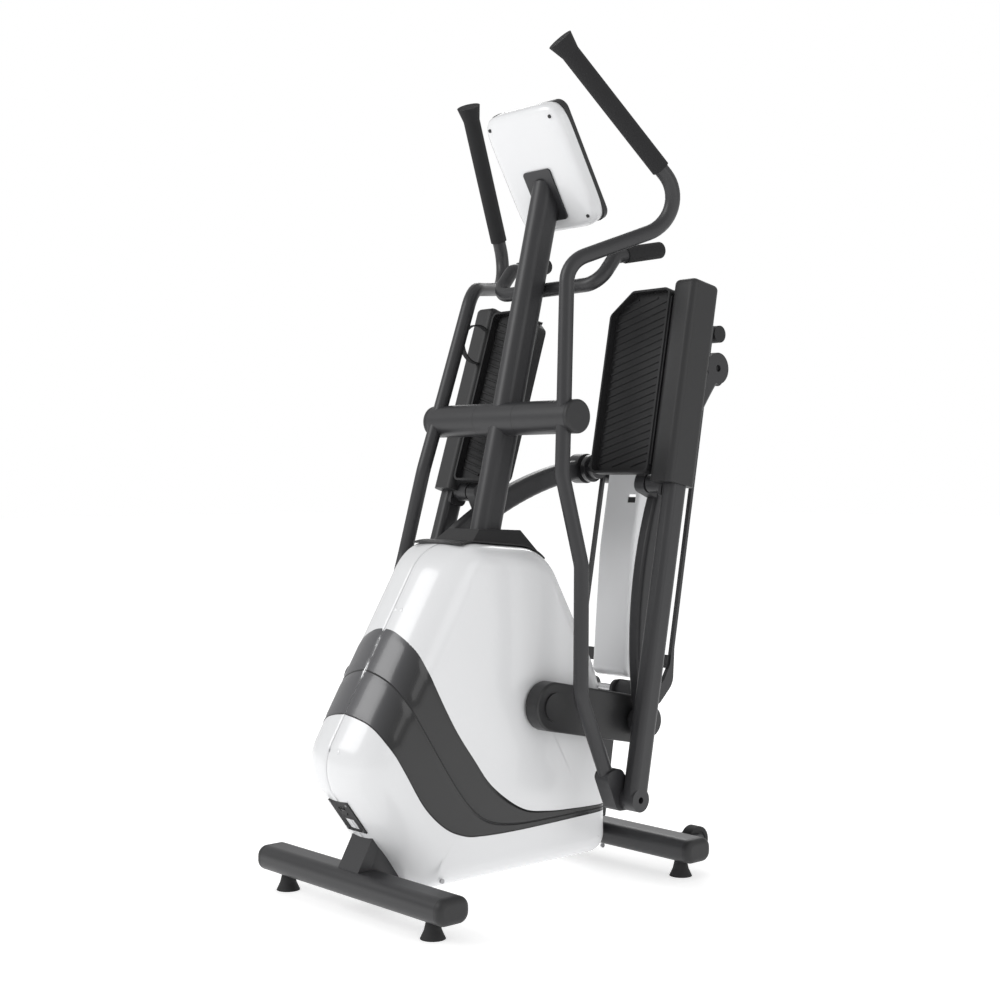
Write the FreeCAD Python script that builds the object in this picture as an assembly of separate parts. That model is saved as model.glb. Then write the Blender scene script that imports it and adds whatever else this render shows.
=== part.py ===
import FreeCAD, Part
import math
import os

# Folding elliptical trainer, shown folded: the rear track frame stands upright behind the mast.
# X is across the machine (+X is the user's left), Y runs from the nose (-) to the rear (+), Z is up.
# Everything is drawn with Y = 0 on the front feet, then moved so that the origin is the middle of
# the overall box at floor level.

# ---- overall sizes -------------------------------------------------------------------------
FOOT_SPAN = 480.0             # left foot to right foot
WHEELBASE = 706.0             # front feet to rear feet
FRONT_BEAM_LENGTH = 610.0
REAR_BEAM_LENGTH = 590.0
BEAM_HEIGHT = 52.0
BEAM_DEPTH = 78.0
BEAM_WALL = 3.0
BEAM_FLOOR_GAP = 36.0         # underside of both beams above the floor
MAST_FOOT = (335.0, 717.0)    # y, z where the mast leaves the casing
MAST_TOP = (532.0, 1524.0)
MAST_WIDTH = 50.0
MAST_DEPTH = 70.0
MAST_WALL = 3.0

# ---- casing --------------------------------------------------------------------------------
CASE_HALF = 115.0
CASE_WALL = 3.0
CASE_EDGE = 42.0              # large edge radius of the two shells
CASE_OUTLINE = [(96, 40, 60), (-95, 292, 100), (179, 745, 120), (440, 722, 120), (615, 420, 330),
                (622, 40, 46)]
BAND_PROUD = 2.0
COLLAR_PROUD = 3.0
GAP = 0.5                     # plain gap between pieces that only pass each other
RUN = 0.05                    # radial clearance of a running fit

# ---- drive ---------------------------------------------------------------------------------
CRANK = (400.0, 390.0)
CRANK_RADIUS = 250.0
CRANK_ANGLE = -11.5           # left crank, above the rearward direction
CRANK_AXLE_R = 12.5
CRANK_ARM_IN = 124.0
CRANK_ARM_OUT = 160.0
CRANK_ARM_WIDTH = 104.0
CRANK_BOSS = 4.0
BEARING_R = 26.0
BEARING_LENGTH = 15.0
PULLEY_R = 140.0
PULLEY_WIDTH = 16.0
FLYWHEEL = (215.0, 300.0)
FLYWHEEL_R = 125.0
FLYWHEEL_WIDTH = 22.0
FLYWHEEL_AXLE_R = 8.0
SMALL_PULLEY_R = 22.0
BELT_THICK = 3.0
DRIVE_X = 45.0                # the belt's plane
FLYWHEEL_X = -30.0
BRAKE_GAP = 3.0
BRAKE_PLATE = 6.0

# ---- rear frame and links ------------------------------------------------------------------
HINGE = (720.0, 387.0)
HINGE_TUBE_R = 24.0
HINGE_PIN_R = 10.0
FRAME_LEAN = 10.6             # rearward lean of the folded frame
FRAME_LENGTH = 850.0
RAIL_X = 144.0
RAIL_WIDTH = 10.0
RAIL_DEPTH = 8.0
RAIL_OFFSET = 45.0            # rail centre line behind the hinge line
TREAD_R = 26.0
FLANGE_R = 33.0
RETAINER_R = 22.0
ROLLER_AXLE_R = 8.0
REST_FOOT_R = 20.0
REST_FOOT_BACK = 72.0         # rest foot centre behind the hinge line
COVER_HALF = 54.0
LINK_LENGTH = 815.0
LINK_X = 190.0
LINK_WIDTH = 34.0
LINK_DEPTH = 52.0
LINK_BELLY = 95.0
LINK_WALL = 3.0
ROLLER_EYE_R = 36.0
PEDAL_PIVOT_ALONG = 500.0     # pedal pivot on the link, from the crank pin
PEDAL_PIVOT_PROUD = 145.0
PEDAL_PIN_R = 9.0
PEDAL_ARM_X = 276.0
PEDAL_ARM_WIDTH = 38.0
PEDAL_ARM_DEPTH = 50.0
PEDAL_ARM_LENGTH = 1122.0
PEDAL_Q_ALONG = 675.0         # pedal pivot on the pedal arm, from the swing arm pin
PEDAL_Q_BACK = 0.0
PEDAL_ARM_WALL = 2.5
COVER_START = 672.0
TRAY_START = 690.0
TRAY_LENGTH = 415.0
TRAY_IN = 58.0
TRAY_OUT = 232.0
TRAY_RIM = 24.0

# ---- swing arms ----------------------------------------------------------------------------
PIVOT = (397.0, 1000.0)
PIVOT_HALF = 234.0
PIVOT_SHAFT_R = 14.0
PIVOT_TUBE_R = 36.0
PIVOT_HUB_HALF = 62.0
SLEEVE_OUT = 222.0
SWING_RADIUS = 811.4
SWING_TUBE_R = 15.9
SWING_BORE = 13.9
SWING_X = 236.0
SWING_PIN_R = 7.0
GRIP_R = 19.5

# ---- console, handlebar, feet, wheels --------------------------------------------------------
CONSOLE_WIDTH = 240.0
CONSOLE_HEIGHT = 285.0
CONSOLE_DEPTH = 34.0
CONSOLE_TILT = 30.3           # console leans back from the vertical
BAR_TUBE_R = 15.9
BAR_BORE = 13.9
BAR_WELD = 1.5                # how far the bar's tube is notched onto the mast
FOOT_R = 25.0
FOOT_STEM_R = 6.0
WHEEL_R = 32.0
WHEEL_WIDTH = 26.0
WHEEL_BACK = 74.0             # wheel centre behind the rear feet
WHEEL_HEIGHT = 62.0
WHEEL_X = 215.0

parts = {}


def vec(x, y, z):
    return FreeCAD.Vector(x, y, z)


def box(x0, x1, y0, y1, z0, z1):
    return Part.makeBox(x1 - x0, y1 - y0, z1 - z0, vec(x0, y0, z0))


def rod(radius, x0, x1, yz=(0, 0)):
    """Cylinder along X between two stations."""
    return Part.makeCylinder(radius, x1 - x0, vec(x0, yz[0], yz[1]), vec(1, 0, 0))


def ring(outer, inner, x0, x1, yz=(0, 0)):
    return rod(outer, x0, x1, yz).cut(rod(inner, x0 - 1, x1 + 1, yz))


def upright(radius, z0, z1, x, y):
    return Part.makeCylinder(radius, z1 - z0, vec(x, y, z0), vec(0, 0, 1))


def fuse(*shapes):
    solid = shapes[0]
    for other in shapes[1:]:
        solid = solid.fuse(other)
    return solid.removeSplitter()


def mirrored(shape):
    return shape.mirror(vec(0, 0, 0), vec(1, 0, 0))


def moved(shape, x, y, z):
    copy = shape.copy()
    copy.translate(vec(x, y, z))
    return copy


def leaned(shape, lean, yz):
    """Tilt a piece drawn upright at the origin rearward by lean, and set it down at y, z."""
    copy = shape.copy()
    copy.rotate(vec(0, 0, 0), vec(1, 0, 0), -lean)
    copy.translate(vec(0, yz[0], yz[1]))
    return copy


def along(start, lean, distance, back):
    """The point at a distance along a leaning line and a step behind it."""
    angle = math.radians(lean)
    return (start[0] + distance * math.sin(angle) + back * math.cos(angle),
            start[1] + distance * math.cos(angle) - back * math.sin(angle))


def lean_of(start, end):
    return math.degrees(math.atan2(end[0] - start[0], end[1] - start[1]))


def outline_wire(corners, x):
    """Closed outline in a plane across X. Each corner is y, z, radius."""
    pieces = []
    count = len(corners)
    ends = []
    for i in range(count):
        here = vec(x, corners[i][0], corners[i][1])
        before = vec(x, corners[i - 1][0], corners[i - 1][1]) - here
        after = vec(x, corners[(i + 1) % count][0], corners[(i + 1) % count][1]) - here
        radius = corners[i][2]
        if radius <= 0:
            ends.append((here, None, here))
            continue
        half = before.getAngle(after) / 2
        reach = radius / math.tan(half)
        a = here + before.normalize() * reach
        b = here + after.normalize() * reach
        middle = (a + b) * 0.5 - here
        to_centre = middle.normalize() * (radius / math.sin(half))
        apex = here + to_centre - to_centre.normalize() * radius
        ends.append((a, apex, b))
    for i in range(count):
        a, apex, b = ends[i]
        if apex is not None:
            pieces.append(Part.Arc(a, apex, b).toShape())
        following = ends[(i + 1) % count][0]
        if b.distanceToPoint(following) > 0.01:
            pieces.append(Part.LineSegment(b, following).toShape())
    return Part.Wire(pieces)


def slab(corners, x0, x1):
    """Rounded outline in the Y-Z plane, extruded across X."""
    return Part.Face(outline_wire(corners, x0)).extrude(vec(x1 - x0, 0, 0))


def bent_tube(points, radius, bends, bore=0.0):
    """Round tube along straight runs joined by tangent arcs."""
    nodes = [vec(*p) for p in points]
    edges = []
    start = nodes[0]
    for i in range(1, len(nodes) - 1):
        here = nodes[i]
        back = (nodes[i - 1] - here).normalize()
        on = (nodes[i + 1] - here).normalize()
        half = back.getAngle(on) / 2
        reach = bends[i - 1] / math.tan(half)
        a = here + back * reach
        b = here + on * reach
        inward = (back + on).normalize()
        apex = here + inward * (bends[i - 1] / math.sin(half) - bends[i - 1])
        edges.append(Part.LineSegment(start, a).toShape())
        edges.append(Part.Arc(a, apex, b).toShape())
        start = b
    edges.append(Part.LineSegment(start, nodes[-1]).toShape())
    path = Part.Wire(edges)
    direction = (nodes[1] - nodes[0]).normalize()
    outer = path.makePipeShell([Part.Wire(Part.makeCircle(radius, nodes[0], direction))], True, False)
    if not bore:
        return outer
    inside = Part.Wire(Part.makeCircle(bore, nodes[0], direction))
    return outer.cut(path.makePipeShell([inside], True, False))


def round_long_edges(solid, radius, direction):
    """Fillet the straight edges that run along a direction."""
    edges = [e for e in solid.Edges if isinstance(e.Curve, Part.Line)
             and abs(abs(e.tangentAt(e.FirstParameter).dot(direction)) - 1) < 1e-6]
    return solid.makeFillet(radius, edges)


def rounded_post(width, depth, z0, z1, radius):
    return round_long_edges(box(-width / 2, width / 2, -depth / 2, depth / 2, z0, z1), radius, vec(0, 0, 1))


# ---- linkage geometry ------------------------------------------------------------------------
def crank_pin(side, crank_turn=0.0):
    angle = math.radians(CRANK_ANGLE + crank_turn + (0 if side > 0 else 180))
    return (CRANK[0] + CRANK_RADIUS * math.cos(angle), CRANK[1] + CRANK_RADIUS * math.sin(angle))


ROLLER_BACK = RAIL_OFFSET - RAIL_DEPTH / 2 - TREAD_R


def roller_distance(side, frame_lean):
    """How far up the rail the link's roller sits, from the hinge."""
    pin = crank_pin(side)
    angle = math.radians(frame_lean)
    dy, dz = pin[0] - HINGE[0], pin[1] - HINGE[1]
    pin_along = dy * math.sin(angle) + dz * math.cos(angle)
    pin_back = dy * math.cos(angle) - dz * math.sin(angle)
    return pin_along + math.sqrt(LINK_LENGTH ** 2 - (ROLLER_BACK - pin_back) ** 2)


def meeting_point(a, radius_a, b, radius_b):
    """The lower front meeting point of two circles."""
    dy, dz = b[0] - a[0], b[1] - a[1]
    span = math.hypot(dy, dz)
    base = (radius_a ** 2 - radius_b ** 2 + span ** 2) / (2 * span)
    height = math.sqrt(radius_a ** 2 - base ** 2)
    return (a[0] + base * dy / span + height * dz / span, a[1] + base * dz / span - height * dy / span)


def linkage(side, frame_lean):
    """Every pivot of one side at one lean of the rear frame."""
    pin = crank_pin(side)
    distance = roller_distance(side, frame_lean)
    roller = along(HINGE, frame_lean, distance, ROLLER_BACK)
    link_lean = lean_of(pin, roller)
    pedal = along(pin, link_lean, PEDAL_PIVOT_ALONG, -PEDAL_PIVOT_PROUD)
    pedal_reach = math.hypot(PEDAL_Q_ALONG, PEDAL_Q_BACK)
    toe = meeting_point(PIVOT, SWING_RADIUS, pedal, pedal_reach)
    arm_lean = lean_of(toe, pedal) - math.degrees(math.atan2(PEDAL_Q_BACK, PEDAL_Q_ALONG))
    swing = math.degrees(math.atan2(toe[0] - PIVOT[0], PIVOT[1] - toe[1]))
    return {"pin": pin, "distance": distance, "roller": roller, "link_lean": link_lean, "pedal": pedal,
            "toe": toe, "arm_lean": arm_lean, "swing": swing}


def unfolded_lean():
    """Frame lean at which its rest feet reach the floor."""
    reach = math.hypot(FRAME_LENGTH, REST_FOOT_BACK)
    offset = math.degrees(math.atan2(REST_FOOT_BACK, FRAME_LENGTH))
    return math.degrees(math.acos(-(HINGE[1] - REST_FOOT_R) / reach)) - offset


FOLD_ANGLE = unfolded_lean() - FRAME_LEAN
SIDES = {"left": 1, "right": -1}
REST = {name: linkage(side, FRAME_LEAN) for name, side in SIDES.items()}
OPEN = {name: linkage(side, unfolded_lean()) for name, side in SIDES.items()}


def handed(shape, side):
    return shape if side > 0 else mirrored(shape)


# ---- base: beams, feet, wheels ---------------------------------------------------------------
BEAM_Z = BEAM_FLOOR_GAP + BEAM_HEIGHT / 2
STEM_HOLE = FOOT_STEM_R + GAP


def beam_outline(length, y, inset):
    """Flat oval bar across the machine, smaller all round by an inset."""
    corner = BEAM_HEIGHT * 0.42 - inset
    y0, y1 = y - BEAM_DEPTH / 2 + inset, y + BEAM_DEPTH / 2 - inset
    z0, z1 = BEAM_FLOOR_GAP + inset, BEAM_FLOOR_GAP + BEAM_HEIGHT - inset
    return slab([(y0, z0, corner), (y1, z0, corner), (y1, z1, corner), (y0, z1, corner)],
                -length / 2, length / 2)


def beam(length, y):
    """Flat oval stabiliser tube with holes for the feet stems."""
    z0 = BEAM_FLOOR_GAP
    outer = beam_outline(length, y, 0.0)
    inner = beam_outline(length + 2, y, BEAM_WALL)
    tube = outer.cut(inner)
    for x in (-FOOT_SPAN / 2, FOOT_SPAN / 2):
        tube = tube.cut(upright(STEM_HOLE, z0 - 1, z0 + BEAM_HEIGHT / 2, x, y))
    return tube


CAP_LENGTH = 18.0


def beam_cap(length, y):
    """Domed plastic end cap on the +X end of a beam."""
    x = length / 2
    dome = beam_outline(CAP_LENGTH, y, 0.0)
    dome.translate(vec(x + CAP_LENGTH / 2, 0, 0))
    rim = [e for e in dome.Edges if e.BoundBox.XMin > x + CAP_LENGTH - 0.1]
    return dome.makeFillet(CAP_LENGTH * 0.7, rim)


def make_beams():
    caps = []
    for name, length, y in (("front", FRONT_BEAM_LENGTH - 2 * CAP_LENGTH, 0.0),
                            ("rear", REAR_BEAM_LENGTH - 2 * CAP_LENGTH, WHEELBASE)):
        parts[name + "_stabiliser"] = beam(length, y)
        cap = beam_cap(length, y)
        caps += [cap, mirrored(cap)]
    parts["stabiliser_caps"] = Part.makeCompound(caps)


FOOT_STEM_TOP = BEAM_Z + 8.0


def make_feet():
    """Conical rubber foot on a threaded stem, one at each end of each beam."""
    for end, y in (("front", 0.0), ("rear", WHEELBASE)):
        for name, side in SIDES.items():
            pad = Part.makeCone(FOOT_R, FOOT_R * 0.7, 16, vec(0, 0, 0), vec(0, 0, 1))
            neck = Part.makeCone(FOOT_R * 0.7, FOOT_R * 0.52, BEAM_FLOOR_GAP - GAP - 16, vec(0, 0, 16),
                                 vec(0, 0, 1))
            stem = upright(FOOT_STEM_R, BEAM_FLOOR_GAP - GAP, FOOT_STEM_TOP, 0, 0)
            parts["levelling_foot_%s_%s" % (end, name)] = moved(fuse(pad, neck, stem),
                                                                side * FOOT_SPAN / 2, y, 0)


def make_wheels():
    """Transport wheels on brackets behind the rear beam."""
    y, z = WHEELBASE + WHEEL_BACK, WHEEL_HEIGHT
    half = WHEEL_WIDTH / 2
    tyre = ring(WHEEL_R, WHEEL_R - 10, WHEEL_X - half, WHEEL_X + half, (y, z))
    hub = ring(WHEEL_R - 10, 5 + RUN, WHEEL_X - half + 2, WHEEL_X + half - 2, (y, z))
    wheel = fuse(tyre, hub)
    for name, side in SIDES.items():
        parts["transport_wheel_" + name] = handed(wheel, side)
    brackets = []
    for side in (1, -1):
        for x in (WHEEL_X - half - 1 - 5, WHEEL_X + half + 1):
            plate = slab([(WHEELBASE + BEAM_DEPTH / 2 - 14, BEAM_Z - 18, 4),
                          (y + 12, z - 14, 13), (y + 12, z + 14, 13),
                          (WHEELBASE + BEAM_DEPTH / 2 - 14, BEAM_Z + 20, 4)], x, x + 5)
            brackets.append(handed(plate, side))
        brackets.append(handed(rod(5, WHEEL_X - half - 6, WHEEL_X + half + 6, (y, z)), side))
    beam_space = box(-400, 400, WHEELBASE - 60, WHEELBASE + BEAM_DEPTH / 2, 0, 200)
    brackets = [bracket.cut(beam_space) for bracket in brackets]
    parts["rear_stabiliser"] = fuse(parts["rear_stabiliser"], *brackets)


# ---- main frame ------------------------------------------------------------------------------
SPINE_WIDTH = 50.0
SPINE_Z0 = 60.0
SPINE_Z1 = 120.0
MAST_LEAN = lean_of(MAST_FOOT, MAST_TOP)
BRACKET_X = 60.0
BRACKET_THICK = 6.0
HUB_HALF = 96.0


def mast_point(z):
    """Mast centre line at a height."""
    share = (z - MAST_FOOT[1]) / (MAST_TOP[1] - MAST_FOOT[1])
    return MAST_FOOT[0] + share * (MAST_TOP[0] - MAST_FOOT[0])


def make_main_frame():
    """Welded spine, mast post, crank shell, axle plates and the rear hinge post."""
    beam_front = BEAM_DEPTH / 2
    spine = box(-SPINE_WIDTH / 2, SPINE_WIDTH / 2, beam_front, WHEELBASE - beam_front, SPINE_Z0, SPINE_Z1)
    spine_bore = box(-SPINE_WIDTH / 2 + 3, SPINE_WIDTH / 2 - 3, beam_front + 3, WHEELBASE - beam_front - 3,
                     SPINE_Z0 + 3, SPINE_Z1 - 3)
    neck = slab([(-24, BEAM_Z + 22, 4), (70, BEAM_Z - 10, 8), (110, 150, 10), (30, 178, 20)], -33, 33)
    neck = neck.cut(slab([(0, BEAM_Z + 26, 4), (62, BEAM_Z, 6), (100, 146, 8), (34, 170, 16)], -29, 29))
    post = leaned(rounded_post(MAST_WIDTH + 2 * MAST_WALL + 2, MAST_DEPTH + 8, 0, 640, 12), MAST_LEAN,
                  (mast_point(SPINE_Z1), SPINE_Z1 - 20))
    post = post.cut(box(-100, 100, 0, 900, MAST_FOOT[1] - 60, 900))
    post = post.cut(leaned(rounded_post(MAST_WIDTH - 4, MAST_DEPTH - 4, 24, 640, 20), MAST_LEAN,
                           (mast_point(SPINE_Z1), SPINE_Z1 - 20)))
    crank_stays = [slab([(300, 100, 4), (430, 100, 4), (430, 420, 25), (372, 420, 25)], x, x + BRACKET_THICK)
                   for x in (-25, 19)]
    shell = rod(BEARING_R + 6, -HUB_HALF, HUB_HALF, CRANK)
    plates = [slab([(150, 100, 4), (300, 100, 4), (FLYWHEEL[0] + 25, FLYWHEEL[1] + 25, 15),
                    (FLYWHEEL[0] - 25, FLYWHEEL[1] + 25, 15)], x, x + BRACKET_THICK)
              for x in (-BRACKET_X, BRACKET_X)]
    foot = box(-BRACKET_X, BRACKET_X + BRACKET_THICK, 150, 430, 108, SPINE_Z1)
    side_stay = slab([(300, 110, 4), (430, 110, 4), (430, 420, 25), (372, 420, 25)],
                     DRIVE_X + PULLEY_WIDTH / 2 + 4, DRIVE_X + PULLEY_WIDTH / 2 + 10)
    frame = fuse(spine, post, side_stay, shell, foot, *crank_stays, *plates)
    hinge_post = slab([(WHEELBASE - 62, 100, 4), (WHEELBASE - 20, 100, 4),
                       (HINGE[0] + 6, HINGE[1] - 36, 4), (HINGE[0] - 40, HINGE[1] - 36, 4)], -30, 30)
    hinge_post = hinge_post.cut(slab([(WHEELBASE - 58, 104, 2), (WHEELBASE - 24, 104, 2),
                                      (HINGE[0] + 1, HINGE[1] - 62, 2), (HINGE[0] - 35, HINGE[1] - 62, 2)],
                                     -26, 26))
    tail = box(-SPINE_WIDTH / 2, SPINE_WIDTH / 2, WHEELBASE - beam_front - 60, WHEELBASE - beam_front,
               60, 120)
    ears = [slab([(HINGE[0] - 44, HINGE[1] - 60, 6), (HINGE[0] + 10, HINGE[1] - 60, 6),
                  (HINGE[0] + 24, HINGE[1] - 4, 20), (HINGE[0] + 20, HINGE[1] + 24, 20),
                  (HINGE[0] - 28, HINGE[1] + 24, 20)], x, x + 8) for x in (-48, 40)]
    bridge = slab([(HINGE[0] - 44, HINGE[1] - 60, 4), (HINGE[0] + 8, HINGE[1] - 60, 4),
                   (HINGE[0] + 8, HINGE[1] - 34, 4), (HINGE[0] - 44, HINGE[1] - 34, 4)], -48, 48)
    frame = fuse(frame, neck, tail, hinge_post, bridge, *ears)
    bores = [rod(BEARING_R, -HUB_HALF - 1, -HUB_HALF + BEARING_LENGTH, CRANK),
             rod(BEARING_R, HUB_HALF - BEARING_LENGTH, HUB_HALF + 1, CRANK),
             rod(CRANK_AXLE_R + 3, -HUB_HALF - 1, HUB_HALF + 1, CRANK),
             rod(HINGE_PIN_R, -60, 60, HINGE)]
    pulley_room = rod(PULLEY_R + 8, DRIVE_X - PULLEY_WIDTH / 2 - 4, DRIVE_X + PULLEY_WIDTH / 2 + 4, CRANK)
    flywheel_room = rod(FLYWHEEL_R + 6, FLYWHEEL_X - FLYWHEEL_WIDTH / 2 - 4,
                        FLYWHEEL_X + FLYWHEEL_WIDTH / 2 + 4, FLYWHEEL)
    for bore in bores:
        frame = frame.cut(bore)
    hub_room = rod(SMALL_PULLEY_R + BELT_THICK + 2, -52, DRIVE_X + PULLEY_WIDTH / 2 + 3, FLYWHEEL)
    front_beam = beam_outline(FRONT_BEAM_LENGTH, 0.0, 0.0)
    frame = frame.cut(pulley_room).cut(flywheel_room).cut(hub_room).cut(spine_bore).cut(front_beam)
    socket = leaned(rounded_post(MAST_WIDTH, MAST_DEPTH, 0, 400, 24), MAST_LEAN,
                    along(MAST_FOOT, MAST_LEAN, -SOCKET_DEPTH, 0))
    axle = rod(FLYWHEEL_AXLE_R, -BRACKET_X - 10, BRACKET_X + BRACKET_THICK + 10, FLYWHEEL)
    parts["main_frame"] = fuse(frame.cut(socket), axle)


SOCKET_DEPTH = 150.0


def make_mast():
    """Oval mast tube, set deep in the frame's post."""
    top = math.hypot(MAST_TOP[0] - MAST_FOOT[0], MAST_TOP[1] - MAST_FOOT[1])
    tube = rounded_post(MAST_WIDTH, MAST_DEPTH, -SOCKET_DEPTH, top, 24)
    hollow = rounded_post(MAST_WIDTH - 2 * MAST_WALL, MAST_DEPTH - 2 * MAST_WALL, -SOCKET_DEPTH - 1,
                          top - 4, 24 - MAST_WALL)
    mast = leaned(tube.cut(hollow), MAST_LEAN, MAST_FOOT)
    hub = ring(PIVOT_TUBE_R, PIVOT_SHAFT_R, -PIVOT_HUB_HALF, PIVOT_HUB_HALF, PIVOT)
    mast = fuse(mast, hub.cut(leaned(tube, MAST_LEAN, MAST_FOOT)), console_plate_on_mast())
    console_space = set_console(box(-CONSOLE_WIDTH, CONSOLE_WIDTH, 0, CONSOLE_WIDTH, -CONSOLE_HEIGHT,
                                    2 * CONSOLE_HEIGHT))
    parts["mast"] = mast.cut(rod(PIVOT_SHAFT_R, -HUB_HALF, HUB_HALF, PIVOT)).cut(console_space)


def console_plate_on_mast():
    """Plate welded across the mast's top, which the console screws to."""
    plate = round_long_edges(box(-42, 42, -4, 0, 30, 150), 8, vec(0, 1, 0))
    return set_console(plate)


# ---- casing ----------------------------------------------------------------------------------
def case_block(grow):
    """Solid casing shape, grown outward by a distance."""
    face = Part.Face(outline_wire(CASE_OUTLINE, -CASE_HALF - grow))
    if grow:
        face = face.makeOffset2D(grow)
    solid = face.extrude(vec(2 * (CASE_HALF + grow), 0, 0))
    rims = [e for e in solid.Edges
            if abs(abs(e.BoundBox.Center.x) - CASE_HALF - grow) < 0.01 and e.BoundBox.XLength < 0.01]
    return solid.makeFillet(CASE_EDGE + grow, rims)


NECK_OPENING = (-40.0, 40.0, -60.0, 135.0, 20.0, 154.0)
INLET_LEAN = -37.0
INLET_CENTRE = (-22.8, 195.4)
INLET_SIZE = (62.0, 84.0, 26.0)


def inlet_block(grow):
    width, height, depth = INLET_SIZE
    block = box(-width / 2 - grow, width / 2 + grow, -6, depth + grow, -height / 2 - grow, height / 2 + grow)
    return leaned(block, INLET_LEAN, INLET_CENTRE)


def case_openings():
    """Where the frame, the mast and the crank axle pass through the casing."""
    spine_way = box(-SPINE_WIDTH / 2 - 8, SPINE_WIDTH / 2 + 8, 400, 900, 20, SPINE_Z1 + 6)
    neck_way = box(*NECK_OPENING)
    mast_way = leaned(rounded_post(MAST_WIDTH + 16, MAST_DEPTH + 26, -200, 200, 20), MAST_LEAN, MAST_FOOT)
    axle_way = rod(BEARING_R + 8, -CASE_HALF - 5, CASE_HALF + 5, CRANK)
    return [spine_way, neck_way, mast_way, axle_way, inlet_block(GAP)]


def make_case():
    """Two moulded shells that meet on the centre plane."""
    shell = case_block(0).cut(case_block(-CASE_WALL))
    for opening in case_openings():
        shell = shell.cut(opening)
    parts["casing_left"] = shell.common(box(0, 300, -300, 900, 0, 1000))
    parts["casing_right"] = shell.common(box(-300, 0, -300, 900, 0, 1000))
    collar_zone = slab([(215, 690, 0), (440, 660, 0), (470, 800, 0), (200, 800, 0)], -78, 78)
    skirt = case_block(COLLAR_PROUD).cut(case_block(0)).common(collar_zone)
    dome = Part.makeLoft([collar_ring(0.0), collar_ring(1.0)], True)
    mast_way = leaned(rounded_post(MAST_WIDTH + 2 * GAP, MAST_DEPTH + 2 * GAP, -300, 300, 24), MAST_LEAN,
                      MAST_FOOT)
    parts["mast_collar"] = fuse(skirt, dome).cut(case_block(0)).cut(mast_way)


def collar_ring(rise):
    """Section of the raised collar: wide at the casing, close to the mast at the top."""
    half, front, rear = 76 - 26 * rise, 222 + 62 * rise, 436 - 34 * rise
    z = 712 + 52 * rise
    corners = [vec(-half, front, z), vec(half, front, z), vec(half, rear, z - 4), vec(-half, rear, z - 4)]
    return Part.makePolygon(corners + corners[:1])


BAND_UPPER = [(20, 578), (48, 560), (72, 508), (138, 398), (228, 273), (297, 212), (354, 184),
              (457, 174), (640, 168)]
BAND_LOWER = [(640, 140), (398, 138), (228, 136), (150, 150), (82, 188), (22, 262), (-22, 350), (-50, 394)]


def spline_edge(points, x):
    curve = Part.BSplineCurve()
    curve.interpolate([vec(x, y, z) for y, z in points])
    return curve.toShape()


def make_bands():
    """Curved dark trim that runs from the nose along each side."""
    x0 = -CASE_HALF - 20
    upper = spline_edge([(-160, 590)] + BAND_UPPER, x0)
    lower = spline_edge(BAND_LOWER + [(-160, 402)], x0)
    rear = Part.LineSegment(vec(x0, *BAND_UPPER[-1]), vec(x0, *BAND_LOWER[0])).toShape()
    front = Part.LineSegment(vec(x0, -160, 402), vec(x0, -160, 590)).toShape()
    zone = Part.Face(Part.Wire([upper, rear, lower, front])).extrude(vec(2 * CASE_HALF + 40, 0, 0))
    skin = case_block(BAND_PROUD).cut(case_block(0)).common(zone)
    parts["accent_bands"] = Part.makeCompound([skin.common(box(0, 300, -300, 900, 0, 1000)),
                                               skin.common(box(-300, 0, -300, 900, 0, 1000))])


SWITCH_HALF = 9.0             # half width of the rocker
SWITCH_WAY = 10.0             # half height of its opening
SWITCH_Z = 16.0
SWITCH_PIVOT = 2.0
SWITCH_PIN = 3.0              # length of each pivot stub
SWITCH_PIN_R = 1.5


def make_inlet():
    """Power inlet plate with a recessed socket and a rocker switch."""
    width, height, depth = INLET_SIZE
    plate = box(-width / 2, width / 2, 0, 3, -height / 2, height / 2)
    pocket = box(-15, 15, 0, depth - 4, -34, -6)
    can = box(-18, 18, 3, depth, -37, 24)
    socket = fuse(plate, can).cut(pocket.cut(box(-11, 11, 8, depth, -30, -10)))
    switch_way = box(-SWITCH_HALF - GAP, SWITCH_HALF + GAP, -1, depth - 6, SWITCH_Z - SWITCH_WAY,
                     SWITCH_Z + SWITCH_WAY)
    pin_way = rod(SWITCH_PIN_R + RUN, -SWITCH_HALF - SWITCH_PIN - GAP, SWITCH_HALF + SWITCH_PIN + GAP,
                  (SWITCH_PIVOT, SWITCH_Z))
    body = socket.cut(switch_way).cut(pin_way)
    parts["power_inlet"] = leaned(body, INLET_LEAN, INLET_CENTRE)
    tip = SWITCH_WAY - 1.2
    rocker = slab([(-3, SWITCH_Z - tip, 0), (1.5, SWITCH_Z, 0), (-3, SWITCH_Z + tip, 0),
                   (8, SWITCH_Z + 7, 2),
                   (8, SWITCH_Z - 7, 2)], -SWITCH_HALF, SWITCH_HALF)
    rocker = fuse(rocker, rod(SWITCH_PIN_R, -SWITCH_HALF - SWITCH_PIN, SWITCH_HALF + SWITCH_PIN,
                              (SWITCH_PIVOT, SWITCH_Z)))
    parts["power_switch"] = leaned(rocker, INLET_LEAN, INLET_CENTRE)
    screws = [leaned(Part.makeCylinder(2.6, 2, vec(x, -2, z), vec(0, 1, 0)), INLET_LEAN, INLET_CENTRE)
              for x in (-25, 25) for z in (-36, 36)]
    for side in (1, -1):
        for y, z in ((128, 62), (590, 62)):
            screws.append(handed(rod(5, CASE_HALF - 3, CASE_HALF + 1, (y, z)), side))
    parts["case_screws"] = Part.makeCompound([s.cut(case_block(0)) if i >= 4 else s
                                              for i, s in enumerate(screws)])


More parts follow.
